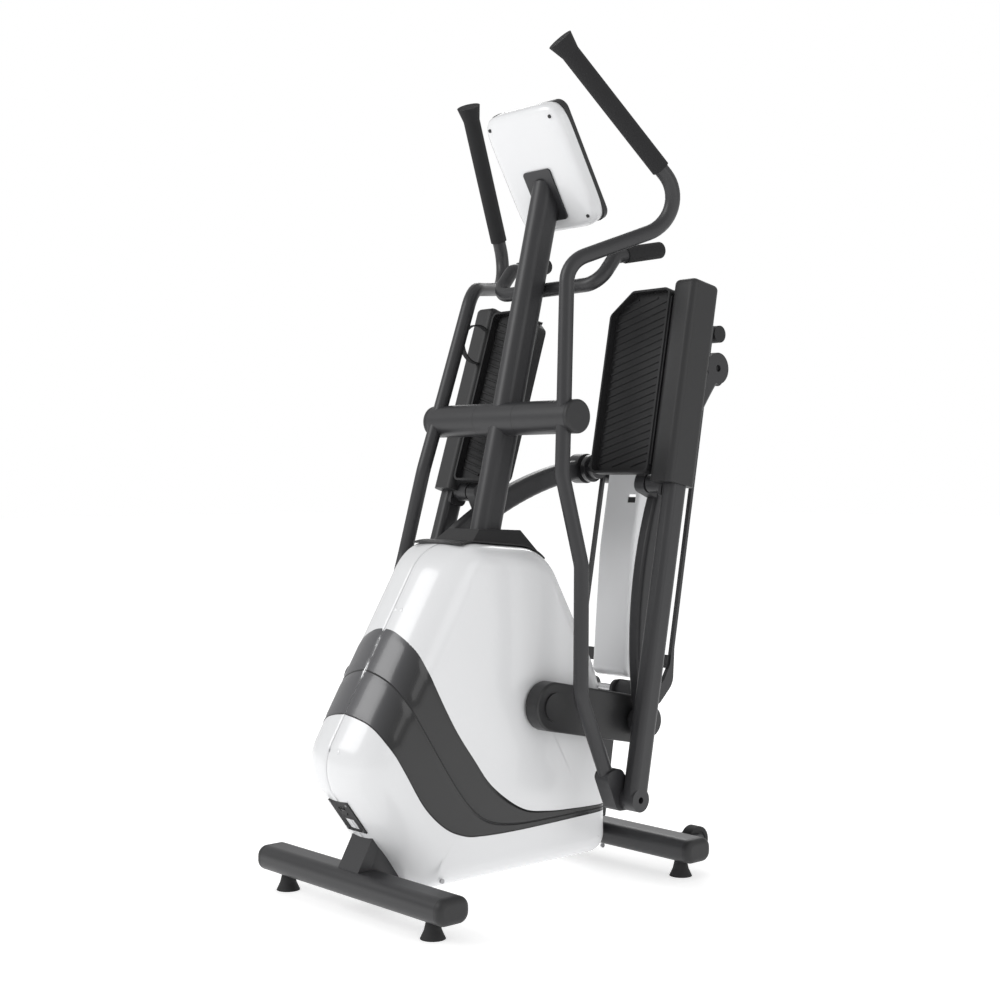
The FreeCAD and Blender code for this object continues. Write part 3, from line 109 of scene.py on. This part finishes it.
# Stabiliser beams: two flat oval steel tubes across the floor, each with a domed plastic cap at
# both ends. Welded steel, sprayed with a satin charcoal powder coat that cures to a fine orange peel.
def shader_group(name, inputs, outputs):
    """A shared effect: named number inputs, and outputs of the given socket kinds."""
    group = bpy.data.node_groups.new(name, "ShaderNodeTree")
    for label, value in inputs:
        given = group.interface.new_socket(label, in_out="INPUT", socket_type="NodeSocketFloat")
        given.default_value = value
    for label, kind in outputs:
        group.interface.new_socket(label, in_out="OUTPUT", socket_type=kind)
    return group, group.nodes.new("NodeGroupInput"), group.nodes.new("NodeGroupOutput")


def build_surface_grain():
    """Fine cellular grain for a bump, and slow cloudy changes for colour and gloss."""
    group, given, out = shader_group("surface_grain", [("Grain Scale", 900.0), ("Cloud Scale", 7.0)],
                                     [("Grain", "NodeSocketFloat"), ("Cloud", "NodeSocketFloat")])
    place = group.nodes.new("ShaderNodeTexCoord")
    grain = group.nodes.new("ShaderNodeTexNoise")
    cloud = group.nodes.new("ShaderNodeTexNoise")
    grain.inputs["Detail"].default_value = 2.0
    cloud.inputs["Detail"].default_value = 4.0
    for texture, scale in ((grain, "Grain Scale"), (cloud, "Cloud Scale")):
        group.links.new(place.outputs["Object"], texture.inputs["Vector"])
        group.links.new(given.outputs[scale], texture.inputs["Scale"])
    group.links.new(grain.outputs["Fac"], out.inputs["Grain"])
    group.links.new(cloud.outputs["Fac"], out.inputs["Cloud"])
    return group


SURFACE_GRAIN = build_surface_grain()


def coated(name, colour, roughness, grain_scale, grain_depth, cloud=0.12, metallic=0.0, coat=0.0):
    """A sprayed, moulded or turned finish: one colour that drifts a little, with a fine grain."""
    material = bpy.data.materials.new(name)
    material.use_nodes = True
    tree = material.node_tree
    shader = tree.nodes["Principled BSDF"]
    shader.inputs["Metallic"].default_value = metallic
    shader.inputs["Coat Weight"].default_value = coat
    shader.inputs["Coat Roughness"].default_value = 0.05
    grain = tree.nodes.new("ShaderNodeGroup")
    grain.node_tree = SURFACE_GRAIN
    grain.inputs["Grain Scale"].default_value = grain_scale
    tint = tree.nodes.new("ShaderNodeMix")
    tint.data_type = "RGBA"
    tint.inputs["A"].default_value = tuple(c * (1.0 - cloud) for c in colour) + (1.0,)
    tint.inputs["B"].default_value = tuple(min(c * (1.0 + cloud), 1.0) for c in colour) + (1.0,)
    tree.links.new(grain.outputs["Cloud"], tint.inputs["Factor"])
    tree.links.new(tint.outputs["Result"], shader.inputs["Base Color"])
    gloss = tree.nodes.new("ShaderNodeMapRange")
    gloss.inputs["To Min"].default_value = roughness - cloud * 0.3
    gloss.inputs["To Max"].default_value = roughness + cloud * 0.3
    tree.links.new(grain.outputs["Cloud"], gloss.inputs["Value"])
    tree.links.new(gloss.outputs["Result"], shader.inputs["Roughness"])
    bump = tree.nodes.new("ShaderNodeBump")
    bump.inputs["Distance"].default_value = grain_depth
    bump.inputs["Strength"].default_value = 0.6
    tree.links.new(grain.outputs["Grain"], bump.inputs["Height"])
    tree.links.new(bump.outputs["Normal"], shader.inputs["Normal"])
    return material


def finish(material, *names):
    """Give CAD pieces a finish without touching their meshes."""
    for name in names:
        piece = nodes[name]
        if not piece.material_slots:
            piece.data.materials.append(material)
        for slot in piece.material_slots:
            slot.link = "OBJECT"
            slot.material = material


charcoal_coat = coated("charcoal_coat", (0.025, 0.025, 0.027), 0.4, 1100.0, 0.00012)
textured_black = coated("textured_black", (0.016, 0.016, 0.017), 0.5, 1600.0, 0.00018)
finish(charcoal_coat, "front_stabiliser", "rear_stabiliser")
finish(textured_black, "stabiliser_caps")


# Levelling feet and transport wheels: moulded rubber pads on threaded stems, and rubber-tyred
# wheels on a steel spindle, all matt black and a little dusty.
SIDES = {"left": 1, "right": -1}
foot_rubber = coated("foot_rubber", (0.015, 0.015, 0.016), 0.74, 700.0, 0.0002, cloud=0.2)
for side in SIDES:
    finish(foot_rubber, "levelling_foot_front_" + side, "levelling_foot_rear_" + side,
           "transport_wheel_" + side)


# Main frame: a welded steel spine inside the casing. Only its neck shows, an oval boot that rises
# from the front beam into the nose and runs back under it as a gusset.
NECK_SECTIONS = [(44, -8, 142), (62, -24, 116), (84, -22, 106), (110, -5, 106), (140, 12, 108),
                 (168, 28, 112)]
NECK_HALF = 36 * MM
NECK_ROUND = 48


def at(x, y, z):
    """A point given in millimetres from the front beam's line, in metres in the machine's frame."""
    return Vector((x * MM, y * MM + FRONT_LINE, z * MM))


def ring_faces(rings, size, closed=True):
    """Quads between rings of points that follow each other."""
    around = size if closed else size - 1
    return [(k * size + i, k * size + (i + 1) % size, (k + 1) * size + (i + 1) % size, (k + 1) * size + i)
            for k in range(rings - 1) for i in range(around)]


def new_piece(name, points, faces, material, body, smooth=True):
    """A mesh piece in the machine's frame, with its finish, riding on a body."""
    mesh = bpy.data.meshes.new(name)
    mesh.from_pydata(points, [], faces)
    mesh.validate()
    piece = bpy.data.objects.new(name, mesh)
    studio.collection.objects.link(piece)
    mesh.materials.append(material)
    for polygon in mesh.polygons:
        polygon.use_smooth = smooth
    bpy.context.view_layer.objects.active = piece
    piece.select_set(True)
    bpy.ops.object.mode_set(mode="EDIT")
    bpy.ops.mesh.select_all(action="SELECT")
    bpy.ops.mesh.normals_make_consistent(inside=False)
    bpy.ops.object.mode_set(mode="OBJECT")
    if smooth:
        bpy.ops.object.shade_smooth_by_angle(angle=math.radians(40))
    piece.select_set(False)
    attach(piece, body)
    return piece


def superellipse(turn, power):
    """Unit point of a rounded box outline."""
    c, s = math.cos(turn), math.sin(turn)
    return (math.copysign(abs(c) ** (2 / power), c), math.copysign(abs(s) ** (2 / power), s))


neck_points = []
for z, front, rear in NECK_SECTIONS:
    for i in range(NECK_ROUND):
        across, down = superellipse(2 * math.pi * i / NECK_ROUND, 2.6)
        place = at(0, (front + rear) / 2 + down * (rear - front) / 2, z)
        place.x = across * NECK_HALF
        neck_points.append(place)
neck_faces = ring_faces(len(NECK_SECTIONS), NECK_ROUND)
neck_faces += [tuple(range(NECK_ROUND)), tuple(range(len(neck_points) - NECK_ROUND, len(neck_points)))]
frame_neck = new_piece("frame_neck", neck_points, neck_faces, charcoal_coat, "base")
finish(charcoal_coat, "main_frame")


# Mast: an oval steel tube leaning back from the frame, with the cross hub welded through it. Same
# charcoal coat; a soft-edged black moulded collar closes the gap where it enters the casing.
finish(charcoal_coat, "mast")
finish(textured_black, "mast_collar")


# Casing: two gloss white shells moulded in ABS that meet on the centre plane with a fine seam. The nose
# is crowned across and rolls over a broad edge into gently domed sides, each bored for the crank axle.
CASE_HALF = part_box("casing_left")[1].x
CASE_CORNERS = [(96, 40, 60), (-95, 292, 100), (179, 745, 120), (440, 722, 120), (615, 420, 330),
                (622, 40, 46)]
CASE_EDGE = 42 * MM
CASE_BULGE = 2.5 * MM
NOSE_CROWN_RADIUS = 175 * MM
CRANK_CENTRE = (400 * MM, 390 * MM)
AXLE_HOLE = 36 * MM
SEAM_HALF = 0.5 * MM
OUTLINE_STEPS = 240


def rounded_outline(corners, steps):
    """Even points (y, z) round a closed outline whose corners are (y, z, radius) in millimetres."""
    path = []
    for i, (y, z, radius) in enumerate(corners):
        here = Vector((y, z))
        before = (Vector(corners[i - 1][:2]) - here).normalized()
        after = (Vector(corners[(i + 1) % len(corners)][:2]) - here).normalized()
        half = before.angle(after) / 2
        centre = here + (before + after).normalized() * radius / math.sin(half)
        start = here + before * radius / math.tan(half) - centre
        sweep = start.angle_signed(here + after * radius / math.tan(half) - centre)
        for k in range(17):
            turn = -sweep * k / 16
            path.append(centre + Vector((start.x * math.cos(turn) - start.y * math.sin(turn),
                                         start.x * math.sin(turn) + start.y * math.cos(turn))))
    path.append(path[0])
    lengths = [(b - a).length for a, b in zip(path, path[1:])]
    whole = sum(lengths)
    points, leg, walked = [], 0, 0.0
    for k in range(steps):
        goal = whole * k / steps
        while walked + lengths[leg] < goal:
            walked += lengths[leg]
            leg += 1
        points.append(path[leg].lerp(path[leg + 1], (goal - walked) / lengths[leg]) * MM)
    return points


def outward_normals(points):
    """Unit normals of an outline that runs clockwise when seen from the user's left."""
    count = len(points)
    middle = sum(points, Vector((0, 0))) / count
    normals = []
    for i in range(count):
        run = points[(i + 2) % count] - points[i - 2]
        normal = Vector((-run.y, run.x)).normalized()
        normals.append(normal if normal.dot(points[i] - middle) > 0 else -normal)
    return normals


def case_section():
    """Steps across one shell from the seam to the side, as (x, inset from the outline)."""
    steps = [(SEAM_HALF, 2.2 * MM), (SEAM_HALF * 1.2, 0.7 * MM), (SEAM_HALF * 3, 0.0)]
    steps += [(CASE_HALF * k / 10, 0.0) for k in range(1, 7)]
    flat = CASE_HALF - CASE_EDGE
    for k in range(1, 13):
        angle = math.pi / 2 * k / 12
        steps.append((flat + CASE_EDGE * math.sin(angle), CASE_EDGE * (1 - math.cos(angle))))
    return steps


def case_rings(side):
    """Rings of points from the seam, round the edge, and in over the side to the axle hole."""
    outline = rounded_outline(CASE_CORNERS, OUTLINE_STEPS)
    normals = outward_normals(outline)
    pole = Vector(CRANK_CENTRE)
    rings = []
    for x, inset in case_section():
        ring = []
        for point, normal in zip(outline, normals):
            front = max(0.0, -normal.x) ** 2 * (3 - 2 * max(0.0, -normal.x))
            crown = x * x / (2 * NOSE_CROWN_RADIUS) * (0.18 + 0.82 * front)
            ring.append((x, point - normal * (inset + crown)))
        rings.append(ring)
    rim = rings[-1]
    for k in range(1, 13):
        share = k / 12
        ring = []
        for x, point in rim:
            hole = pole + (point - pole).normalized() * AXLE_HOLE
            ring.append((x + CASE_BULGE * math.sin(math.pi / 2 * min(1.0, share * 1.6)),
                         point.lerp(hole, share)))
        rings.append(ring)
    rings.append([(x - 6 * MM, point) for x, point in rings[-1]])
    return [[Vector((side * x, p.x + FRONT_LINE, p.y)) for x, p in ring] for ring in rings]


white_gloss = coated("white_gloss", (0.77, 0.775, 0.785), 0.24, 260.0, 0.00003, cloud=0.015, coat=0.35)
case_skin = {}
for side, sign in SIDES.items():
    rings = case_rings(sign)
    points = [point for ring in rings for point in ring]
    faces = ring_faces(len(rings), OUTLINE_STEPS)
    shell = new_piece("case_shell_" + side, points, faces, white_gloss, "base")
    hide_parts("casing_" + side)
    case_skin[side] = BVHTree.FromPolygons(points, faces)


# Accent bands: two gloss dark mouldings, split by a fine black line, that wrap the nose and sweep back
# low along both sides. Each is clipped flush on the shells and meets its twin on the centre seam.
BAND_TOP = [(0, 71, 566), (38, 70, 560), (92, 79, 526), (114, 97, 479), (117, 157, 371), (117, 210, 298),
            (117, 263, 234), (117, 345, 179), (117, 420, 163), (117, 510, 157), (114, 600, 154)]
BAND_SPLIT = [(0, 22, 485), (40, 23, 477), (77, 27, 462), (106, 42, 429), (116, 83, 365), (117, 147, 269),
              (117, 198, 204), (117, 249, 166), (117, 320, 150), (117, 420, 147),
              (117, 510, 147), (114, 600, 147)]
BAND_FOOT = [(0, -30, 402), (40, -26, 395), (73, -22, 385), (101, -9, 358), (115, 35, 289), (115, 83, 216),
             (116, 135, 168), (116, 185, 145), (116, 231, 138), (116, 320, 135), (116, 420, 136),
             (116, 510, 138), (114, 600, 140)]
BAND_LIFT = 1.6 * MM
CASE_INSIDE = at(0, 300, 350)
BAND_LENGTHWAYS = 120
BAND_ACROSS = 12
LINE_LIFT = 1.2 * MM
LINE_SHARES = (0.0, 0.5, 1.0)
LINE_SLANT = 0.3
LINES = (("split", BAND_SPLIT, 2.2), ("foot", BAND_FOOT, 1.4))


def through(points, count):
    """Even steps along a smooth curve through the given points."""
    padded = [2 * points[0] - points[1]] + list(points) + [2 * points[-1] - points[-2]]
    fine = []
    for a, b, c, d in zip(padded, padded[1:], padded[2:], padded[3:]):
        for k in range(24):
            t = k / 24
            fine.append(0.5 * (2 * b + (c - a) * t + (2 * a - 5 * b + 4 * c - d) * t * t
                               + (3 * b - a - 3 * c + d) * t ** 3))
    fine.append(points[-1].copy())
    reach = [0.0]
    for a, b in zip(fine, fine[1:]):
        reach.append(reach[-1] + (b - a).length)
    steps, leg = [], 0
    for k in range(count):
        goal = reach[-1] * k / (count - 1)
        while leg < len(fine) - 2 and reach[leg + 1] < goal:
            leg += 1
        steps.append(fine[leg].lerp(fine[leg + 1], (goal - reach[leg]) / (reach[leg + 1] - reach[leg])))
    return steps


def band_grid(side, low_edge, high_edge, shares, lift):
    """Points between two edge curves, dropped on the shell and lifted off it along its normal."""
    sign = SIDES[side]
    edges = [through([at(sign * x, y, z) for x, y, z in edge], BAND_LENGTHWAYS)
             for edge in (low_edge, high_edge)]
    grid = []
    for low, high in zip(*edges):
        for share in shares:
            spot, normal, _, _ = case_skin[side].find_nearest(low.lerp(high, share))
            normal = normal if normal.dot(spot - CASE_INSIDE) > 0 else -normal
            rise = lift * min(1.0, 6 * min(share, 1 - share) + 0.05) if lift else 0.0
            place = spot + normal * rise
            if abs(low.x) < 1e-6:
                place.x = sign * SEAM_HALF
            grid.append(place)
    return grid


def build_painted_nose_sheen():
    """Mask for painted sheen: one on the front of the nose, where a lighter grey is painted in for light
    reflected off the gloss moulding, and falls to nought on the sides.
    """
    group, given, out = shader_group("painted_nose_sheen", [("Fade Start", 0.06), ("Fade End", 0.112)],
                                     [("Mask", "NodeSocketFloat")])
    place = group.nodes.new("ShaderNodeTexCoord")
    split = group.nodes.new("ShaderNodeSeparateXYZ")
    size = group.nodes.new("ShaderNodeMath")
    fade = group.nodes.new("ShaderNodeMapRange")
    size.operation = "ABSOLUTE"
    fade.inputs["To Min"].default_value = 1.0
    fade.inputs["To Max"].default_value = 0.0
    group.links.new(place.outputs["Object"], split.inputs["Vector"])
    group.links.new(split.outputs["X"], size.inputs[0])
    group.links.new(size.outputs["Value"], fade.inputs["Value"])
    group.links.new(given.outputs["Fade Start"], fade.inputs["From Min"])
    group.links.new(given.outputs["Fade End"], fade.inputs["From Max"])
    group.links.new(fade.outputs["Result"], out.inputs["Mask"])
    return group


band_grey = coated("band_grey", (0.006, 0.006, 0.0065), 0.24, 260.0, 0.00002, cloud=0.05, coat=0.25)
band_tree = band_grey.node_tree
# Painted sheen: the bands are painted a lighter grey across the nose than on their near-black sides,
# standing in for studio light reflected off the front.
painted_nose_sheen = band_tree.nodes.new("ShaderNodeGroup")
painted_nose_sheen.node_tree = build_painted_nose_sheen()
painted_sheen_colour = band_tree.nodes.new("ShaderNodeMix")
painted_sheen_colour.data_type = "RGBA"
painted_sheen_colour.inputs["B"].default_value = (0.085, 0.085, 0.09, 1.0)
side_colour = band_tree.nodes["Principled BSDF"].inputs["Base Color"].links[0].from_socket
band_tree.links.new(painted_nose_sheen.outputs["Mask"], painted_sheen_colour.inputs["Factor"])
band_tree.links.new(side_colour, painted_sheen_colour.inputs["A"])
band_tree.links.new(painted_sheen_colour.outputs["Result"], band_tree.nodes["Principled BSDF"].inputs["Base Color"])
band_black = coated("band_black", (0.008, 0.008, 0.009), 0.4, 500.0, 0.00002, cloud=0.05)
shares = [k / BAND_ACROSS for k in range(BAND_ACROSS + 1)]
band_faces = ring_faces(BAND_LENGTHWAYS, len(shares), closed=False)
for side in SIDES:
    for part, low, high in (("upper", BAND_SPLIT, BAND_TOP), ("lower", BAND_FOOT, BAND_SPLIT)):
        band = new_piece("band_%s_%s" % (part, side), band_grid(side, low, high, shares, BAND_LIFT),
                         band_faces, band_grey, "base")
        if side == "left" and part == "upper":
            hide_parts("accent_bands")
    for part, edge, thick in LINES:
        low = [(x, y - thick * LINE_SLANT, z - thick) for x, y, z in edge]
        high = [(x, y + thick * LINE_SLANT, z + thick) for x, y, z in edge]
        new_piece("band_%s_line_%s" % (part, side), band_grid(side, low, high, LINE_SHARES, LINE_LIFT),
                  ring_faces(BAND_LENGTHWAYS, len(LINE_SHARES), closed=False), band_black, "base")


# Drive inside the casing: a turned axle in two sealed bearings, a moulded pulley and ribbed belt, a cast
# iron flywheel and the magnet brake in front of it. They are pressed and bolted into the frame.
turned_steel = coated("turned_steel", (0.6, 0.6, 0.61), 0.26, 1800.0, 0.00003, metallic=1.0)
cast_iron = coated("cast_iron", (0.11, 0.11, 0.112), 0.5, 500.0, 0.00025, metallic=0.8)
finish(turned_steel, "crank_axle", "crank_bearings", "hinge_pin", "pivot_shaft")
finish(cast_iron, "flywheel")
finish(foot_rubber, "drive_belt", "rest_feet")
finish(textured_black, "brake_magnet", "drive_pulley")


# Power inlet: a matt black moulded plate let into the lower nose, held by four small screws, with a
# rocker switch beside the socket.
PLUGS = [(7, 612), (24, 612), (6, 322), (22, 322)]
PLUG_RADIUS = 5 * MM


def disc(name, centre, out, radius, proud, material, body, steps=24):
    """A low turned button with a bevelled rim, standing on a surface along its outward direction."""
    across = out.orthogonal().normalized()
    up = out.cross(across).normalized()
    points = []
    for share, rise in ((1.0, -1.5 * MM), (1.0, proud * 0.6), (0.86, proud)):
        for k in range(steps):
            turn = 2 * math.pi * k / steps
            spoke = across * math.cos(turn) + up * math.sin(turn)
            points.append(centre + spoke * radius * share + out * rise)
    faces = ring_faces(3, steps) + [tuple(range(2 * steps, 3 * steps))]
    return new_piece(name, points, faces, material, body)


for number, (x, z) in enumerate(PLUGS):
    spot, normal, _, _ = case_skin["left"].find_nearest(at(x, -40 if z < 400 else 80, z))
    normal = normal if normal.y < 0 else -normal
    disc("nose_plug_%d" % number, spot, normal, PLUG_RADIUS, 0.8 * MM, white_gloss, "base")

zinc_screw = coated("zinc_screw", (0.36, 0.36, 0.37), 0.34, 900.0, 0.00005, metallic=1.0)
finish(textured_black, "power_inlet", "power_switch")
finish(zinc_screw, "case_screws")


# Crank: two cast covers over forged arms, one each side, turning with the axle. Satin black.
crank_black = coated("crank_black", (0.02, 0.02, 0.021), 0.36, 1500.0, 0.0001)
for side in SIDES:
    finish(crank_black, "crank_arm_" + side)


# Rear frame: welded flat track rails with cross tubes and a hollow white moulded cover, hinged on a
# pin at the rear of the main frame, and locked upright by a black push latch.
finish(charcoal_coat, "rear_frame")
finish(white_gloss, "rear_cover")
finish(textured_black, "fold_latch")


# Links and roller carriages: bent rectangular steel tubes from the crank pins to the track, each end
# with a forked carrier and two urethane rollers.
roller_black = coated("roller_black", (0.022, 0.022, 0.024), 0.3, 800.0, 0.00003)
for side in SIDES:
    finish(charcoal_coat, "link_" + side, "roller_carrier_" + side)
    finish(roller_black, "track_roller_" + side, "retaining_roller_" + side)


# Pedal arms: long rectangular steel tubes with a moulded black cover over the middle, and a tray with
# raised diagonal treads moulded in rubbery black plastic and bolted to it.
RISE = {"left": (518.75, 197.79, 10.833), "right": (283.65, 196.56, 17.648)}
TREAD_TOP = -27.0
TREAD_RIBS = 26
TREAD_IN, TREAD_OUT = 70.0, 222.0
TREAD_LOW, TREAD_HIGH = 708.0, 1088.0
RIB_SLOPE = 46.0
RIB_HALF = 2.2
RIB_PROUD = 2.6


def on_arm(side, x, across, along):
    """A point on a pedal arm: x from the centre plane, across its depth, along it from its lower pin."""
    y, z, lean = RISE[side]
    c, s = math.cos(math.radians(lean)), math.sin(math.radians(lean))
    return at(SIDES[side] * x, y + across * c + along * s, z - across * s + along * c)


def bar_between(a, b, half, out, proud):
    """Corners and faces of a bevelled rib from a to b, standing proud of the surface along out."""
    run = (b - a).normalized()
    width = run.cross(out).normalized() * half
    corners = []
    for end in (a, b):
        corners += [end - width * 1.4, end - width * 0.7 + out * proud, end + width * 0.7 + out * proud,
                    end + width * 1.4]
    return corners, [(0, 4, 5, 1), (1, 5, 6, 2), (2, 6, 7, 3), (0, 1, 2, 3), (4, 7, 6, 5)]


tray_rubber = coated("tray_rubber", (0.012, 0.012, 0.013), 0.56, 1500.0, 0.0002)
for side in SIDES:
    finish(charcoal_coat, "pedal_arm_" + side)
    finish(textured_black, "pedal_cover_" + side)
    finish(tray_rubber, "foot_tray_" + side)
    points, faces = [], []
    out = (on_arm(side, 100, -1, 800) - on_arm(side, 100, 0, 800)).normalized()
    for k in range(TREAD_RIBS):
        low = TREAD_LOW - RIB_SLOPE + (TREAD_HIGH - TREAD_LOW + RIB_SLOPE) * k / (TREAD_RIBS - 1)
        ends = []
        for x, along in ((TREAD_IN, low), (TREAD_OUT, low + RIB_SLOPE)):
            other = (TREAD_IN + TREAD_OUT) - x
            slope = RIB_SLOPE / (TREAD_OUT - TREAD_IN)
            if along < TREAD_LOW:
                x, along = x + (TREAD_LOW - along) / slope, TREAD_LOW
            if along > TREAD_HIGH:
                x, along = x - (along - TREAD_HIGH) / slope, TREAD_HIGH
            ends.append((x, along))
        if ends[1][0] - ends[0][0] < 12:
            continue
        a, b = (on_arm(side, x, TREAD_TOP, along) for x, along in ends)
        corners, quads = bar_between(a, b, RIB_HALF * MM, out, RIB_PROUD * MM)
        faces += [tuple(i + len(points) for i in quad) for quad in quads]
        points += corners
    new_piece("tread_ribs_" + side, points, faces, tray_rubber, "pedal_" + side, smooth=False)


# Swing arms: round steel tubes bent outward and up from the pedal arm toes to the hand grips, on a
# shaft through the mast, with black end caps on the shaft.
foam_black = coated("foam_black", (0.011, 0.011, 0.012), 0.85, 1300.0, 0.0006)
finish(textured_black, "pivot_end_caps")
for side in SIDES:
    finish(charcoal_coat, "swing_arm_" + side)
    finish(foam_black, "hand_grip_" + side)


# Fixed handlebar: one bent steel tube welded across the mast, with rubber sleeves at the ends.
finish(charcoal_coat, "fixed_handlebar")
finish(foam_black, "handlebar_grips", "storage_strap")


# Console: a white moulded housing screwed to the mast head, a black bezel, the display window and
# three rubber keys.
display_glass = coated("display_glass", (0.012, 0.016, 0.018), 0.08, 300.0, 0.00001, coat=0.5)
CONSOLE_FOOT = (572, 1425)
CONSOLE_TILT = math.radians(30.3)
CONSOLE_HALF = 119
CONSOLE_MIDDLE = 142.5
HOUSING_RINGS = [(34, 0), (16, 0), (10, 3), (6, 9), (3, 20), (1.6, 42), (0.8, 80)]
HOUSING_STEPS = 160
HOUSING_SCREWS = [(-96, 26), (96, 26), (-96, 259), (96, 259), (46, 96), (-46, 96)]
SCREW_RADIUS = 4 * MM
CORNER_POWER = 7.0


def on_console(x, back, up):
    """A point on the console: across, forward from its back face towards the user, and up its height."""
    c, s = math.cos(CONSOLE_TILT), math.sin(CONSOLE_TILT)
    return at(x, CONSOLE_FOOT[0] + back * c - up * s, CONSOLE_FOOT[1] + back * s + up * c)


housing_points = []
for depth, inset in HOUSING_RINGS:
    for k in range(HOUSING_STEPS):
        across, up = superellipse(2 * math.pi * k / HOUSING_STEPS, CORNER_POWER)
        housing_points.append(on_console(across * (CONSOLE_HALF - inset), depth,
                                         CONSOLE_MIDDLE + up * (CONSOLE_MIDDLE - inset)))
housing_faces = ring_faces(len(HOUSING_RINGS), HOUSING_STEPS)
housing_faces += [tuple(range(len(housing_points) - HOUSING_STEPS, len(housing_points)))]
housing = new_piece("console_shell", housing_points, housing_faces, white_gloss, "base")
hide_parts("console_housing")
console_back = (on_console(0, 0, 0) - on_console(0, 1, 0)).normalized()
for number, (x, up) in enumerate(HOUSING_SCREWS):
    disc("console_screw_%d" % number, on_console(x, 3.0, up), console_back, SCREW_RADIUS, 1.2 * MM,
         textured_black, "base")
finish(textured_black, "console_bezel", "button_up", "button_start", "button_down")
finish(display_glass, "console_screen")
